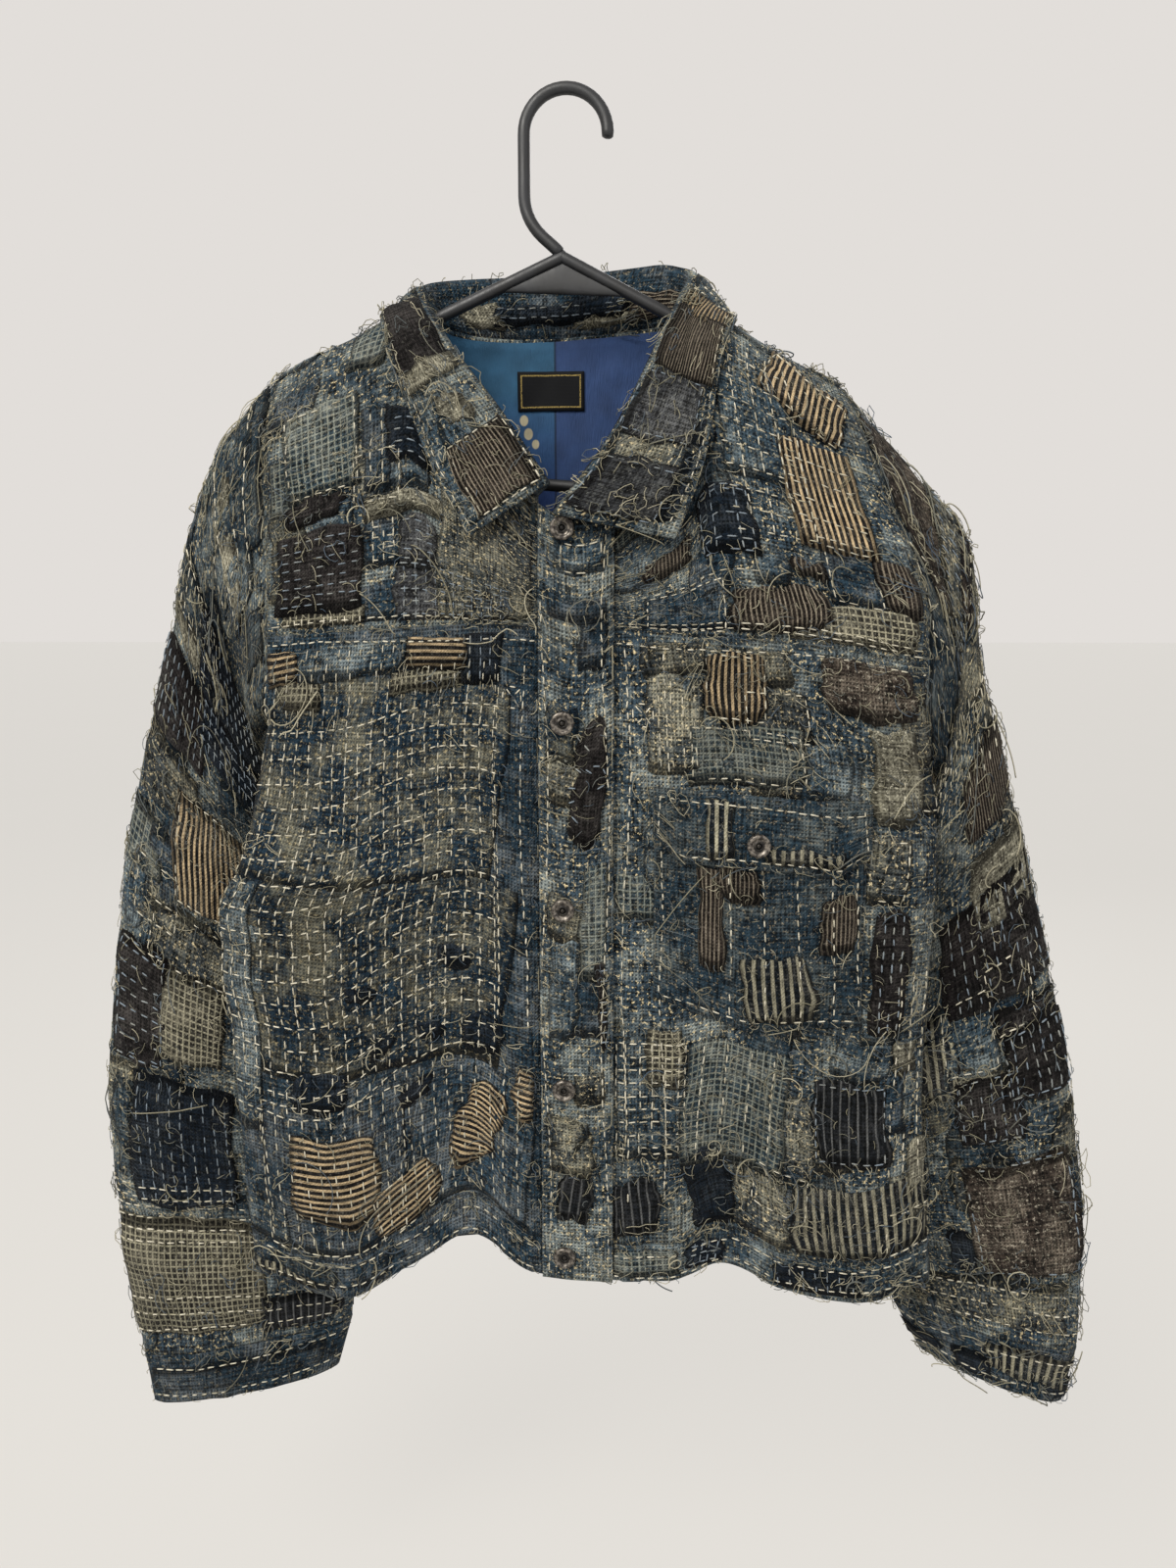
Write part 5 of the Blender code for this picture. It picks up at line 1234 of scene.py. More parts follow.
def outlinePoints(row, every, dice):
    # places along a patch's outline, one for each thread that hangs from it, and the way outwards
    w, h = row[2] / 2, row[3] / 2
    count = max(4, int(2 * (row[2] + row[3]) / every))
    angle = (np.arange(count) + dice.uniform(0, 1, count)) / count * 8
    s, t = (np.interp(angle, (0, 2, 4, 6, 8), k) for k in ((-1, 1, 1, -1, -1), (-1, -1, 1, 1, -1)))
    corners = (0, 1.99, 2.01, 3.99, 4.01, 5.99, 6.01, 8)
    ways = ((0, 0, 1, 1, 0, 0, -1, -1), (-1, -1, 0, 0, 1, 1, 0, 0))
    way = together(*[np.interp(angle, corners, k) for k in ways])
    inner = 1 - 1.2 / min(w, h)
    x, y = patchShape((*row[:8], 0), s * inner, t * inner, dice)
    return together(x, y), way @ spinOf(row[4])


def tubesAlong(paths, radius, normals, closed=False):
    # a three-sided tube along each path of points, its rings square to the path; open ones get two caps
    ahead = np.roll(paths, -1, axis=1) - np.roll(paths, 1, axis=1) if closed else np.gradient(paths, axis=1)
    tangent = unit(ahead)
    side = unit(np.cross(tangent, normals))
    over = np.cross(side, tangent)
    turns = np.arange(3) * 2 * np.pi / 3
    ring = side[:, :, None] * np.cos(turns)[:, None] + over[:, :, None] * np.sin(turns)[:, None]
    points = paths[:, :, None] + ring * radius
    count, length = paths.shape[:2]
    index = numbered(count, length, 3)
    sides = ringQuads(index, closed)
    if closed:
        return points.reshape(-1, 3), sides
    caps = np.concatenate([index[:, 0], index[:, -1, ::-1]])
    caps = np.concatenate([caps, np.full((len(caps), 1), -1)], axis=1)
    return points.reshape(-1, 3), np.concatenate([sides, caps])


# Loose yarn, in mm: how long, points along it, radians it turns through, how far it lifts off and how stout.
shortFrays = dict(shortest=4.0, longest=24.0, points=5, bend=1.9, lift=(0.4, 2.6), stout=1.0)
longFrays = dict(shortest=22.0, longest=95.0, points=13, bend=3.0, lift=(1.5, 6.5), stout=1.7, share=0.034)


def keptOn(panel, across, up):
    # no nearer than 1 mm to the piece's edges
    return np.clip(across, 1, panel.across[-1] - 1), np.clip(up, 1, panel.up[-1] - 1)


def fraysOf(panel, starts, ways, lifts, dice, kind=shortFrays):
    # loose threads: each leaves its edge outwards, curls to one side, lifts off the cloth and droops
    count, points = len(starts), kind["points"]
    long = kind["shortest"] + (kind["longest"] - kind["shortest"]) * dice.beta(1.1, 3.6, count)
    inwards = np.pi * (dice.uniform(size=count) < 0.4)
    heading = np.arctan2(ways[:, 1], ways[:, 0]) + dice.normal(0, 0.6, count) + inwards
    bend = dice.normal(0, kind["bend"], count)
    share = np.linspace(0, 1, points)
    turned = heading[:, None] + bend[:, None] * share
    steps = together(np.cos(turned), np.sin(turned)) * (long / (points - 1))[:, None, None]
    path = starts[:, None] + np.concatenate([np.zeros((count, 1, 2)), np.cumsum(steps[:, :-1], axis=1)], axis=1)
    rise = dice.uniform(*kind["lift"], count)[:, None]
    high = lifts[:, None] + rise * np.sin(share * dice.uniform(1.6, 2.8, count)[:, None])
    point, normal = onPanel(panel, *keptOn(panel, path[..., 0], path[..., 1]), high)
    point[..., 2] -= share**2 * long[:, None] * dressing["droop"]
    thick = dressing["thread"] * kind["stout"] * dice.uniform(0.7, 1.25, count)
    tubes, faces = tubesAlong(point, thick[:, None, None, None], normal)
    tone = np.repeat(dice.uniform(0, 1, count), points * 3)
    return tubes, faces, tone


def joined(parts):
    # several meshes' points, faces and the rest as one; faces of three points get -1 for their fourth
    firsts = np.cumsum([0] + [len(part[0]) for part in parts])
    faces = []
    for first, part in zip(firsts, parts):
        face = part[1]
        if face.shape[1] == 3:
            face = np.concatenate([face, np.full((len(face), 1), -1)], axis=1)
        faces.append(np.where(face < 0, -1, face + first))
    rest = [np.concatenate([part[k] for part in parts]) for k in range(2, len(parts[0]))]
    return (np.concatenate([part[0] for part in parts]), np.concatenate(faces), *rest)


# The jacket's pieces: spacing of their points, their walls and how far they lie off the body's cloth, in mm.
jacket = dict(
    step=5.0, wall=2.0, bandWall=2.6, bandLift=3.3, bandFoot=4.0, pocketLift=2.8, flapLift=6.4,
    liningWall=1.0, liningLift=-1.8, labelLift=-3.1,
)

net = makeJacket(jacket["step"])
panels = {}
for name, (grid, normals) in net.items():
    fade = None
    if name.startswith("cuff"):
        grid, normals = (np.concatenate([k, k[:, :1]], axis=1) for k in (grid, normals))
    if name.startswith("collar"):
        fade = np.linspace(0, 1, len(grid))[:, None]  # no crease on the roll, where fall and stand meet
        fade = 1 - fade if name == "collar_stand" else fade
    thick = jacket["bandWall"] if name.startswith(("cuff", "hem")) else jacket["wall"]
    panels[name] = asPanel(grid, normals, thick, fade)
panels["collar_fall"].normals = -panels["collar_fall"].normals

rows = np.linspace(0, 1, int(515 / jacket["step"]) + 1)[:, None]
for name, last, lift, thick in (
    ("band", bodyCut["leftBandEdge"], jacket["bandLift"], jacket["bandWall"]),
    ("stand_right", bodyCut["leftFrontEdge"], 0.0, jacket["wall"]),
):
    x = np.linspace(bodyCut["rightBandEdge"], last, 11) + 0 * rows
    low = curve(hemLine, x, "z")
    z = low + (curve(frontTop, x, "z") - jacket["bandFoot"] - low) * rows
    panels[name] = laidPanel(closurePiece, x, z, lift, thick)
x, z = outline(62, 198, ((0, 0.45, 1), (-576, -600, -596)), ((0, 1), (-447, -447)), jacket["step"])
panels["pocket"] = laidPanel(frontPiece, x, z, jacket["pocketLift"], jacket["wall"])
x, z = outline(61, 200, ((0, 0.13, 0.86, 1), (-467, -486, -495, -480)), ((0, 1), (-437, -450)), jacket["step"])
panels["flap"] = laidPanel(frontPiece, x, z, jacket["flapLift"], jacket["wall"])
print("cloth pieces shaped:", len(panels))

# Patches where no list gives them: how large, how many are left out, and how often each cloth comes.
scatter = dict(
    cell=52.0, skipped=0.22, seed=23, jitter=0.2, sizes=(0.75, 1.5), turn=4.0, roundest=0.35,
    kinds=dict(denim=5, indigo=5, navy=5, charcoal=5, tweed=6, greenBlue=3, sashiko=4, check=3, stripe=2, ribs=2,
               brownTweed=3, brownRibs=3, felt=2, cream=2, plaid=3, pinstripe=1),
    stitches=((), (), ("rows", 9), ("columns", 9), ("grid", 10), ("rows", 13)),
)


def scatteredRows(panel, dice, start=0.0, end=1.0, cell=scatter["cell"], skipped=scatter["skipped"]):
    # patches on a jittered grid between two shares of the width
    wide, high = panel.across[-1] * (end - start), panel.up[-1]
    columns, rows = max(1, round(wide / cell)), max(1, round(high / cell))
    names, weights = zip(*scatter["kinds"].items())
    jitter = scatter["jitter"]
    found = []
    for k in dice.permutation(columns * rows):
        if dice.uniform() < skipped:
            continue
        across = panel.across[-1] * start + (k % columns + 0.5 + dice.uniform(-jitter, jitter)) * wide / columns
        up = (k // columns + 0.5 + dice.uniform(-jitter, jitter)) * high / rows
        width, height = (size * dice.uniform(*scatter["sizes"]) for size in (wide / columns, high / rows))
        cloth = names[dice.choice(len(names), p=np.array(weights) / sum(weights))]
        stitch = scatter["stitches"][dice.integers(len(scatter["stitches"]))]
        turn, rounding = dice.normal(0, scatter["turn"]), dice.uniform(0, scatter["roundest"])
        layer, fray = int(dice.integers(3)), int(dice.integers(1, 4))
        found.append((across, up, width, height, turn, rounding, cloth, layer, fray, *stitch))
    return sorted(found, key=lambda row: row[7])


# Lines of running stitch over a whole piece: rows or columns between two distances across and two up, one
# every so many mm; waves are rows that climb in an S; box is a small square with a cross that ends a pleat.
panelRuns = dict(
    front_right="""
        waves 8 206 112 372 15.5, columns 8 206 122 395 10.8, columns 30 225 8 118 10,
        columns 205 226 150 396 19, rows 4 234 411 412 9, box 215 0 372 0 14
    """,
    yoke_right="rows 4 200 6 7 9",
    hem_right="rows 4 237 6 22 15",
    hem_left="rows 4 237 6 22 15",
    hem_back="rows 4 470 6 22 15",
    yoke_left="grid 62 115 70 190 14, rows 100 210 44 45 9, rows 4 208 6 10 4",
    front_left="""
        columns 190 216 30 392 25, rows 4 224 396 397 9, box 203 0 352 0 14, columns 12 40 60 200 11,
        rows 60 180 215 262 12
    """,
    band="columns 4 45 4 508 40",
    pocket="columns 3.5 136 4 150 131, columns 49 120 6 140 23, rows 4 134 4 5 9",
    flap="rows 3 140 3.5 4 9, rows 3 140 38 39 9, columns 3.5 141 4 42 136",
    cuff_right="rows 2 310 9 35 24",
    cuff_left="rows 2 252 9 35 24",
    collar_fall="rows 4 622 62 63 9",
    back="rows 8 470 120 420 15, columns 30 450 8 110 11",
    yoke_back="rows 8 400 30 150 15, columns 150 260 20 180 12",
    sleeve_front_right="rows 4 190 560 584 12, rows 10 150 480 520 8",
    sleeve_front_left="rows 4 174 520 545 12, columns 20 150 150 200 9",
    sleeve_back_right="rows 10 180 200 300 12, columns 10 170 380 500 12",
    sleeve_back_left="rows 10 170 120 240 12, columns 10 150 330 460 12",
)
panelRuns = {name: rowsOf(text) for name, text in panelRuns.items()}
# Worn edges with loose threads (side, mm between threads), and how many tangles of thread a piece carries.
frayedEdges = dict(
    yoke_right="low 8, high 6, left 8", yoke_left="low 8, high 6, left 8", yoke_back="low 11, high 6",
    front_right="right 9", front_left="left 12", collar_fall="high 5", collar_stand="low 12",
    hem_right="low 8, high 12", hem_left="low 8, high 12", hem_back="low 8", cuff_right="high 9, low 12",
    cuff_left="high 5, low 12", pocket="left 11, right 11, low 11", flap="low 6", band="left 11, right 12",
    sleeve_front_right="left 8, low 8", sleeve_front_left="left 6, low 8", sleeve_back_right="left 11",
    sleeve_back_left="left 11",
)
frayedEdges = {name: rowsOf(text) for name, text in frayedEdges.items()}
tangles = dict(
    yoke_right=70, yoke_left=76, collar_fall=100, collar_stand=20, front_right=34, front_left=64,
    sleeve_front_right=80, sleeve_front_left=110, hem_right=14, hem_left=26, cuff_left=34, cuff_right=14,
    band=22, pocket=12, flap=12, back=40, yoke_back=34, sleeve_back_right=26, sleeve_back_left=26, hem_back=12,
)


# Lines of stitches in mm: straight pieces of so much, ends that wander, and where and how far waves climb.
running = {"piece": 22.4, "wander": 2.6, "from": 50.0, "over": 110.0, "climb": 34.0}


def runLines(run, dice):
    # straight pieces whose ends wander by a sine, so that a line of stitches is never quite straight
    kind, x1, x2, y1, y2, every = run
    if kind == "box":
        s = every / 2
        corners = [(x1 - s, y1 - s), (x1 + s, y1 - s), (x1 + s, y1 + s), (x1 - s, y1 + s)]
        sides = zip(corners, corners[1:] + corners[:1])
        return [(*k, 0.0) for k in (*sides, (corners[0], corners[2]), (corners[1], corners[3]))]
    lines = []
    for way in (("rows", "columns") if kind == "grid" else (kind,)):
        a1, a2, b1, b2 = (y1, y2, x1, x2) if way == "columns" else (x1, x2, y1, y2)
        a = np.linspace(a1, a2, max(2, int((a2 - a1) / running["piece"]) + 1))
        for b in np.arange(b1, b2 + 0.01, every):
            wander = b + np.sin(a / 43 + b / 60) * min(running["wander"], every / 4)
            wander = wander + dice.uniform(-0.4, 0.4, len(a))
            if kind == "waves":
                share = np.clip((a - running["from"]) / running["over"], 0, 1)
                wander += (running["climb"] - b / 18) * (share**2 * (3 - 2 * share) - 0.5)
            spots = together(*[wander, a] if way == "columns" else [a, wander])
            lines += [(*k, 0.0) for k in zip(spots[:-1], spots[1:])]
    return lines


def edgeStarts(panel, side, every, dice):
    # places along one edge of a piece for its loose threads, and the way off it
    wide, high = panel.across[-1], panel.up[-1]
    length = wide if side in ("low", "high") else high
    count = int(length / every)
    along = (np.arange(count) + dice.uniform(0, 1, count)) / count * length
    inset = dice.uniform(0.5, 5, count)
    x, y, way = dict(
        low=(along, inset, (0, -1)), high=(along, high - inset, (0, 1)),
        left=(inset, along, (-1, 0)), right=(wide - inset, along, (1, 0)),
    )[side]
    return together(x, y), np.tile(np.array(way, float), (count, 1))


tangle = dict(points=12, smallest=2.5, wider=9.0, lift=1.2, rise=(0.5, 3.2), stout=1.1)


def tanglesOn(panel, count, dice):
    # loops of loose yarn: ovals that three sines pull out of shape, standing off the cloth in waves,
    # most of them near the piece's edges
    points = tangle["points"]
    turn = np.arange(points) * 2 * np.pi / points
    spots = dice.uniform(0, 1, (count, 2))
    near = dice.integers(4, size=count)
    pull = dice.beta(1, 6, count)
    spots[:, 0] = np.where(near == 0, pull, np.where(near == 1, 1 - pull, spots[:, 0]))
    spots[:, 1] = np.where(near == 2, pull, np.where(near == 3, 1 - pull, spots[:, 1]))
    middle = spots * (panel.across[-1], panel.up[-1])
    size = tangle["smallest"] + tangle["wider"] * dice.beta(1.2, 3, (count, 2))
    phase = dice.uniform(0, 6.3, (count, 4, 1))
    bumpy = 1 + 0.3 * np.sin(2 * turn + phase[:, 0]) + 0.2 * np.sin(3 * turn + phase[:, 1])
    x = middle[:, :1] + np.cos(turn) * size[:, :1] * bumpy
    y = middle[:, 1:] + np.sin(turn + phase[:, 2]) * size[:, 1:] * bumpy
    rise = dice.uniform(*tangle["rise"], count)[:, None]
    high = panel.wall / 2 + tangle["lift"] + rise * (1 + np.sin(2 * turn + phase[:, 3]))
    point, normal = onPanel(panel, *keptOn(panel, x, y), high)
    tubes, faces = tubesAlong(point, dressing["thread"] * tangle["stout"], normal, closed=True)
    return tubes, faces, np.repeat(dice.uniform(0, 1, count), points * 3)


# Patches that are solids of their own, cloth of the pieces that aren't boro all over, and names in the solids.
cadPatches = {
    ("yoke_right", 3): "patch_brown_shoulder", ("front_right", 17): "patch_rib_low_right",
    ("front_left", 3): "patch_tweed_chest", ("front_left", 11): "patch_pinstripe_low_left",
}
plainCloth = dict(
    collar_stand="indigo", front_right="indigo", hem_right="indigo", hem_left="denim", hem_back="indigo",
    stand_right="navy", pocket="greenBlue", flap="greenBlue", cuff_right="indigo", cuff_left="indigo",
)
cadNames = dict(band="band_left", flap="pocket_flap")

dice = np.random.default_rng(scatter["seed"])
dressed = dict(patchRows)
for name, panel in panels.items():
    if name in ("back", "yoke_back", "sleeve_back_right", "sleeve_back_left"):
        dressed[name] = scatteredRows(panel, dice)
    elif name == "hem_back":
        dressed[name] = scatteredRows(panel, dice, skipped=0.5)
    elif name.startswith("cuff"):
        dressed[name] = list(patchRows[name]) + scatteredRows(panel, dice, 0.55, 0.95, skipped=0.3)
    elif name in ("front_left", "yoke_left", "yoke_right", "sleeve_front_right", "sleeve_front_left", "band",
                  "hem_left", "hem_right"):
        under = [(*row[:7], dressing["under"], row[8]) for row in scatteredRows(panel, dice, cell=31.0, skipped=0.3)
                 if row[6] in ("denim", "indigo", "tweed", "greenBlue", "sashiko", "plaid")]
        dressed[name] = list(patchRows[name]) + under


def dressPiece(name, panel, rows, dice, slot):
    # the patches, stitches and threads of one piece of cloth, each a mesh of its own
    rows = [clippedRow(row, panel) for row in rows]
    rows = [row for row in rows if min(row[2], row[3]) > dressing["least"]]
    made, lines, starts, ways = [], [], [], []
    walls, kinds, looks = [], [], []
    for index, row in enumerate(rows):
        seed = int(abs(row[0]) * 13 + abs(row[1]) * 7) + index
        points, faces, uv, tone, rim = patchWall(panel, row, index, np.random.default_rng(seed))
        own, look = cadPatches.get((name, index)), row[6].removesuffix("Across")
        if own:
            piece = newPiece(own + "_cloth", points, faces, [clothLooks[look]], "brown_patch_cloth", uv,
                             replaces=[own], tone=tone, rim=rim)
        else:
            if look not in looks:
                looks.append(look)
            walls.append((points, faces, uv, tone, rim))
            kinds.append(np.full(len(faces), looks.index(look)))
        lines += patchRuns(row, dice)
        every = dressing["frays"][row[8]]
        if every:
            spots, way = outlinePoints(row, every, np.random.default_rng(seed))
            starts.append(spots)
            ways.append(way)
    if walls:
        points, faces, uv, tone, rim = joined(walls)
        made.append(newPiece(name + "_patches", points, faces, [clothLooks[k] for k in looks], slot, uv,
                             np.concatenate(kinds), tone=tone, rim=rim))
    sewn = []
    over = [line for run in panelRuns.get(name, ()) for line in runLines(run, dice)]
    for group, keep in ((lines, dressing["kept"]), (over, dressing["runKept"])):
        if group:
            sewn.append(stitchesOf(group, dice, keep))
    if sewn:
        middles, turned, dull = (np.concatenate([k[n] for k in sewn]) for n in range(3))
        lifts = topOver(panel, rows, middles[:, 0], middles[:, 1])
        points, faces, tone = stitchMesh(panel, middles, turned, dull, lifts, dice)
        made.append(newPiece(name + "_stitches", points, faces, [stitchYarn], slot, tone=tone))
    for side, every in frayedEdges.get(name, ()):
        spots, way = edgeStarts(panel, side, every, dice)
        starts.append(spots)
        ways.append(way)
    threads = []
    if starts:
        starts, ways = np.concatenate(starts), np.concatenate(ways)
        lifts = topOver(panel, rows, starts[:, 0], starts[:, 1])
        threads.append(fraysOf(panel, starts, ways, lifts, dice))
        apart = np.random.default_rng(len(starts))
        pulled = apart.uniform(size=len(starts)) < longFrays["share"]
        threads.append(fraysOf(panel, starts[pulled], ways[pulled], lifts[pulled], apart, longFrays))
    if name in tangles:
        threads.append(tanglesOn(panel, tangles[name], dice))
    if threads:
        points, faces, tone = joined(threads)
        made.append(newPiece(name + "_threads", points, faces, [looseYarn], slot, tone=tone))
    return made


for name, panel in panels.items():
    slot = "indigo_band_cloth" if name.startswith(("band", "stand", "hem", "cuff")) else "indigo_boro_cloth"
    cloth = clothLooks[plainCloth.get(name, "boro")]
    piece = clothPiece(name + "_cloth", panel, cloth, slot, [cadNames.get(name, name)])
    extra = dressPiece(name, panel, dressed.get(name, ()), dice, slot)
    if name == "collar_stand":
        inner = SimpleNamespace(**{**vars(panel), "normals": -panel.normals})
        extra += dressPiece("collar_stand_inside", inner, patchRows["collar_stand"], dice, slot)
    flat, area = cutOf(panel.grid)
    print(name, "flat", flat)

# Lining inside the back neck and the bare label on it, facing forwards.
shares = np.linspace(0, 1, 28)
x = -84 + 162 * shares + 0 * shares[:, None]
z = -300 + (curve(backTop, x, "z") - 2 + 300) * shares[:, None]
patch = outline(-34, 12, ((0, 1), (-189, -189)), ((0, 1), (-163, -163)), 2.0)
for name, (x, z), lift, material, slot, node, under in (
    ("lining_neck_cloth", (x, z), jacket["liningLift"], dyedLining(), "blue_lining", "lining_neck", "yoke_back"),
    ("label_cloth", patch, jacket["labelLift"], damaskLabel(46.0, 26.0), "black_label", "label", "lining_neck"),
):
    sheet = laidPanel(backPiece, x, z, 0.0, jacket["liningWall"], (0, 1, 0))
    sheet.grid = sheet.grid + sheet.normals * lift
    sheet.normals = -sheet.normals
    piece = clothPiece(name, sheet, material, slot, [node])
    cutOf(sheet.grid)[0]
print("lining and label sewn in")


def tubeOf(rings, poles=None):
    # points and faces of a tube through rings of points: closed by a pole at either end, or else on itself
    sides = rings.shape[1]
    index = numbered(*rings.shape[:2])
    faces = ringQuads(index, poles is None)
    points = rings.reshape(-1, 3)
    if poles is None:
        return points, faces
    for ring, pole in ((index[0], len(points)), (index[-1][::-1], len(points) + 1)):
        fan = together(ring, np.roll(ring, -1), np.full(sides, pole), np.full(sides, -1))
        faces = np.concatenate([faces, fan])
    return np.concatenate([points, poles]), faces


def outwards(points, faces):
    # turns all faces round when the shape they close has a negative volume
    a, b, c = (points[faces[:, k]] for k in range(3))
    d = np.where(faces[:, 3:] < 0, c, points[faces[:, 3]])
    volume = (a * np.cross(b, c)).sum() + (a * np.cross(c, d)).sum()
    if volume > 0:
        return faces
    return np.where(faces[:, 3:] < 0, faces[:, [2, 1, 0, 3]], faces[:, [3, 2, 1, 0]])


# Ring buttons: a rounded rim round a sunk ring, and the blunt end of their post in the middle.
button = dict(
    radius=7.6, height=3.6, sides=40, line=3.5, heights=(-276, -397, -518, -641, -762), pocketAt=(128, -474),
    rim=((0.26, 0), (0.8, 0), (0.93, 0.08), (1.0, 0.32), (1.0, 0.62), (0.96, 0.86), (0.88, 0.98), (0.79, 1.0),
         (0.7, 0.92), (0.62, 0.72), (0.52, 0.6), (0.42, 0.64), (0.34, 0.78), (0.28, 0.76), (0.24, 0.5)),
    post=((0.16, 0.02), (0.2, 0.3), (0.19, 0.62), (0.14, 0.72), (0.07, 0.75)),
)
brass = antiqueBrass()


def sewnButton(name, panel, x, z, replaces):
    # where the panel passes x and z, on its outer face: profiles of radii and heights turned about its normal
    grid = panel.grid
    row = np.abs(grid[:, grid.shape[1] // 2, 2] - z).argmin()
    column = np.abs(grid[row, :, 0] - x).argmin()
    place, normal = onPanel(panel, *(np.array([k]) for k in (panel.across[column], panel.up[row])), panel.wall / 2)
    place, normal = place[0], normal[0]
    shift = np.array([x - place[0], 0, z - place[2]])
    place = place + shift - normal * (shift @ normal) + normal * 1.8
    angle = np.linspace(0, 2 * np.pi, button["sides"], endpoint=False)[:, None]
    across = unit(np.cross(normal, (0, 0, 1.0)))
    spokes = np.cos(angle) * across + np.sin(angle) * np.cross(across, normal)
    parts = []
    for profile in (button["rim"], button["post"]):
        radii, heights = np.array(profile).T[:, :, None, None]
        rings = place + normal * (heights * button["height"]) + spokes * (radii * button["radius"])
        points, faces = tubeOf(rings, rings[[0, -1]].mean(axis=1) if profile is button["post"] else None)
        parts.append((points, outwards(points - place, faces)))
    points, faces = joined(parts)
    away = np.linalg.norm(np.cross(points - place, normal), axis=1) / button["radius"]
    newPiece(name, points, faces, [brass], "antique_brass", replaces=replaces, tone=away)


for number, z in enumerate(button["heights"], 1):
    sewnButton(f"ring_button_{number}", panels["band"], button["line"], z, [f"button_{number}"])
sewnButton("ring_button_pocket", panels["flap"], *button["pocketAt"], ["button_pocket"])
print("buttons sewn on:", len(button["heights"]) + 1)


def arc(centre, radius, start, stop, count):
    # points of a circle between two angles in degrees
    angle = np.radians(np.linspace(start, stop, count))
    return together(centre[0] + radius * np.cos(angle), centre[1] + radius * np.sin(angle))


def bend(a, b, c, count=14):
    # a rounded corner: the quadratic curve from a to c that starts towards b
    t = np.linspace(0, 1, count)[:, None]
    return (1 - t) ** 2 * np.array(a, float) + 2 * t * (1 - t) * np.array(b, float) + t * t * np.array(c, float)


def mouldedBar(name, path, replaces, radius, sides=20):
    # a round bar along a path in the x z plane, rings every 4 mm, its ends rounded over
    path = np.concatenate([np.atleast_2d(np.array(k, float)) for k in path])
    run = np.concatenate([[0], np.cumsum(np.linalg.norm(np.diff(path, axis=0), axis=1))])
    at = np.linspace(0, run[-1], int(run[-1] / 4) + 1)
    ends = radius * 0.55 * (1 - np.cos(np.radians([15, 40, 65])))
    at = np.unique(np.concatenate([at[1:-1], ends, run[-1] - ends, [0, run[-1]]]))
    near = np.minimum(at, run[-1] - at) / (radius * 0.55)
    wide = radius * np.sqrt(np.clip(1 - (1 - np.minimum(near, 1)) ** 2, 0.04, 1))
    line = together(np.interp(at, run, path[:, 0]), 0 * at, np.interp(at, run, path[:, 1]))
    tangent = unit(np.gradient(line, axis=0))
    over = np.cross(tangent, (0, 1.0, 0))
    angle = np.linspace(0, 2 * np.pi, sides, endpoint=False)[:, None]
    rings = line[:, None] + wide[:, None, None] * (
        np.cos(angle) * np.array([0, 1.0, 0]) + np.sin(angle) * over[:, None]
    )
    points, faces = tubeOf(rings, line[[0, -1]])
    newPiece(name, points, outwards(points, faces), [polystyrene], "black_plastic", replaces=replaces)


hanger = dict(radius=4.0, web=1.5)
polystyrene = mouldedPolystyrene("black polystyrene", "#0a0b0d", "#191b1f", 0.42)
bars = dict(
    hook_bar=("hanger_hook", arc((2, -23), 27, -8, 180, 40), bend((-25, -60), (-25, -74), (-14, -85)), (-1.0, -96.4)),
    right_arm_bar=("hanger_arm_right", (3.0, -96.9), (-91, -139.0), (-150, -162.4),
                   bend((-172, -170.5), (-188, -177), (-192, -190))),
    left_arm_bar=("hanger_arm_left", (-3.5, -96.9), (88, -145.2), (146, -172.2),
                  bend((164, -180), (181, -188), (184.5, -203))),
    bottom_bar=("hanger_bar", bend((-192.35, -191.2), (-203, -226), (-168, -231)), (-60, -239), (60, -248),
                bend((162, -256), (197, -254), (184.65, -203.9))),
)
for name, (node, *path) in bars.items():
    mouldedBar(name, path, [node], hanger["radius"])

# The web under the neck: a plate between its top and bottom edges, bulged a little and thinner at its border.
s, t = np.meshgrid(np.linspace(0, 1, 19), np.linspace(0, 1, 7))
x = -44 + 88 * s
top = together(x, np.interp(x, (-91, 0, 88), (-139, -99, -145.2)))
bottom = together(x, -119.5 - 4.2 * s)
flat = top + (bottom - top) * t[..., None]
thick = hanger["web"] * (0.35 + 0.65 * np.clip(np.minimum(np.minimum(s, 1 - s) * 9, np.minimum(t, 1 - t) * 4), 0, 1))
faces, border = wallFaces(7, 19)
points = [together(flat[..., 0], k * thick, flat[..., 1]).reshape(-1, 3) for k in (-1, 1)]
points = np.concatenate(points)
newPiece("neck_web", points, outwards(points, faces), [polystyrene], "black_plastic", flatFaces=border,
         replaces=["hanger_web"])
print("hanger moulded")

# A pale floor under the jacket, pale all round, a large soft light from the upper left, a weaker one from the
# right and one from behind. Lengths here are metres and powers watts.
studio = dict(floor=-1.15, reach=60.0, pale="#5c5a56", glow=0.71, air="#e2deda", key=85.0, fill=9.0, back=30.0)


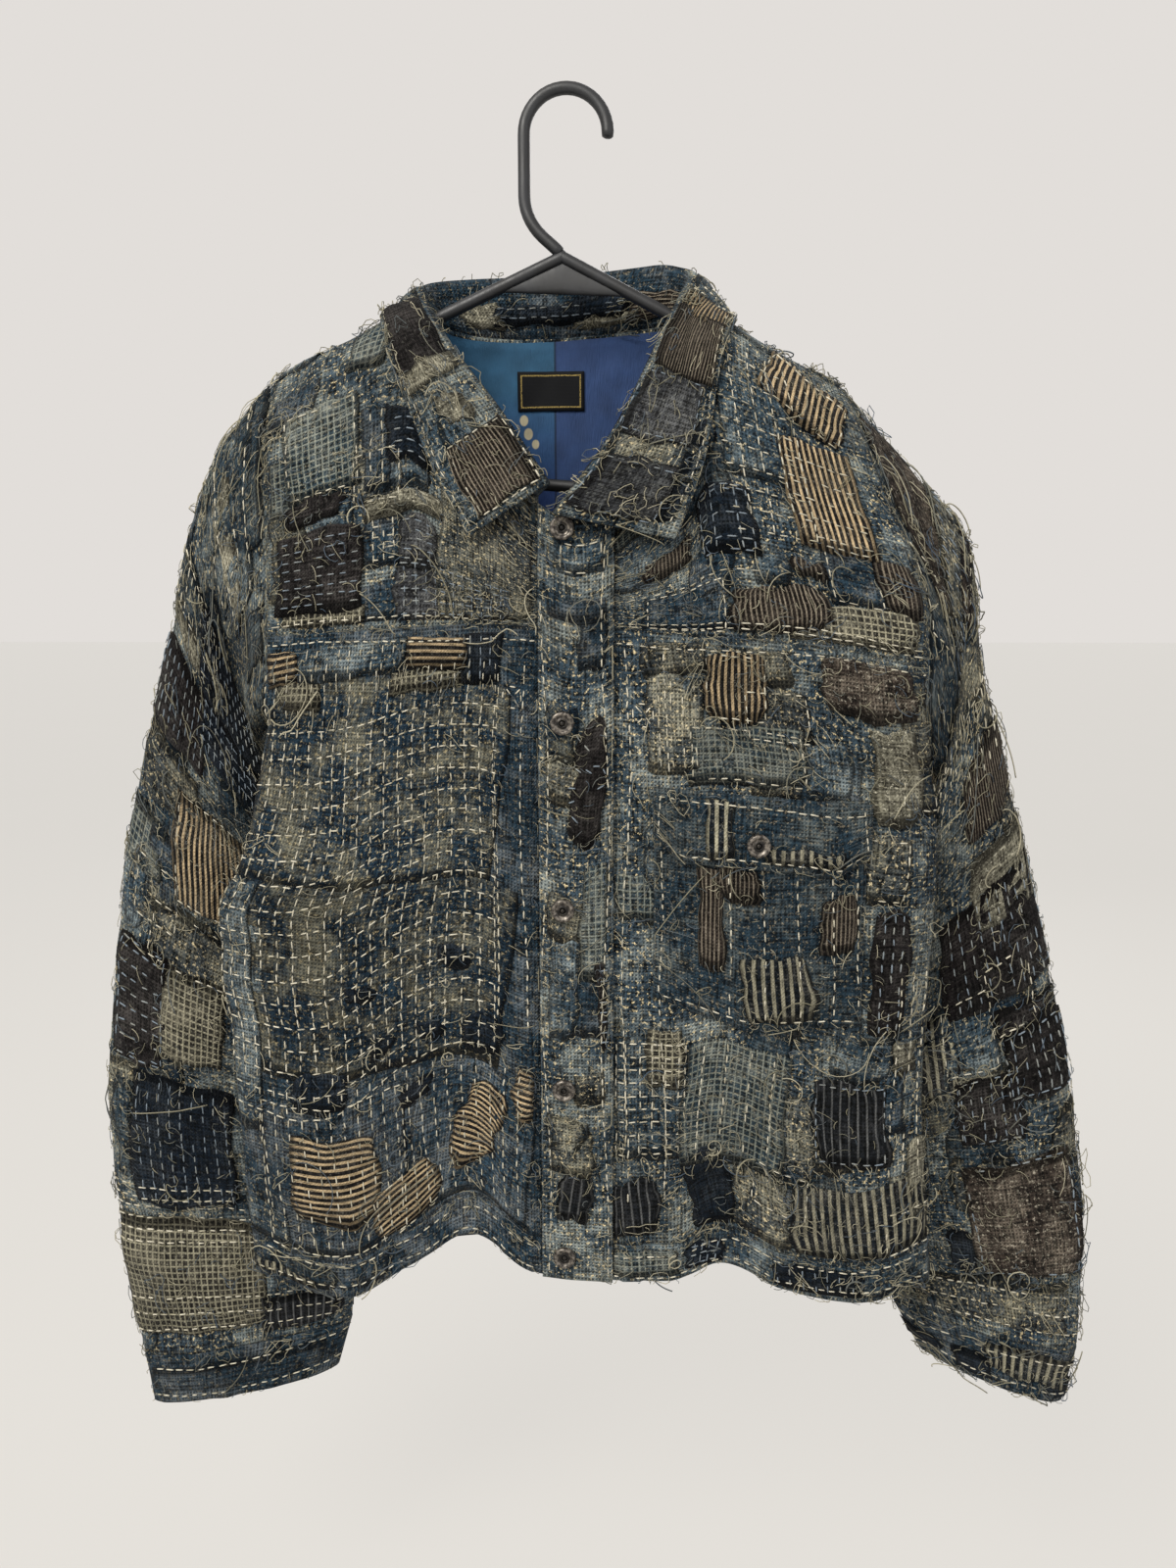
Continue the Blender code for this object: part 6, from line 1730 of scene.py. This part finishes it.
def plainFloor():
    # matt painted board, barely uneven
    made, node, link = newMaterial("matt painted board", **{
        "Roughness": 0.9, "Emission Color": "#e9e6e1", "Emission Strength": studio["glow"],
    })
    cloud = node("TexNoise", node("TexCoord", output=3), Scale=1.4, Detail=2.0)
    link(node("Mix", {0: cloud, 6: studio["pale"], 7: "#5f5d59"}, **blend), "Base Color")
    return made


x, y = np.meshgrid(np.linspace(-1, 1, 9) * studio["reach"], np.linspace(-1, 1, 9) * studio["reach"])
floorMesh = bpy.data.meshes.new("floor")
floorMesh.from_pydata(together(x, y, 0 * x + studio["floor"]).reshape(-1, 3).tolist(), [],
                      gridFaces(9, 9).tolist())
floorMesh.materials.append(plainFloor())
floor = bpy.data.objects.new("floor", floorMesh)
scene = bpy.context.scene
scene.collection.objects.link(floor)

world = bpy.data.worlds.new("studio")
world.use_nodes = True
air = world.node_tree.nodes["Background"].inputs
air["Color"].default_value, air["Strength"].default_value = linear(studio["air"]), 1.0
scene.world = world
scene.view_settings.view_transform = "Standard"


def softLight(name, place, size, power, colour, towards=(0, 0, -0.45)):
    # a square area light turned towards a point
    light = bpy.data.lights.new(name, "AREA")
    light.size, light.energy, light.color = size, power, linear(colour)[:3]
    made = bpy.data.objects.new(name, light)
    scene.collection.objects.link(made)
    made.location = place
    way = np.array(towards) - np.array(place)
    made.rotation_euler = (np.arctan2(np.hypot(way[0], way[1]), -way[2]), 0, np.arctan2(way[1], way[0]) - np.pi / 2)


softLight("key", (-1.1, -1.9, 1.3), 1.4, studio["key"], "#fffcf6")
softLight("fill", (1.7, -1.7, 0.1), 1.6, studio["fill"], "#f2f6ff")
softLight("behind", (0.4, 1.9, 0.9), 1.6, studio["back"], "#ffffff")

camera = bpy.data.cameras.new("camera")
camera.lens, camera.sensor_width = 26.0, 36.0
viewer = bpy.data.objects.new("camera", camera)
viewer.location = (0.05828, -0.775, -0.33668)
viewer.rotation_euler = (np.radians(82.1), 0, np.radians(3.1))
scene.collection.objects.link(viewer)
scene.camera = viewer
print("studio set")
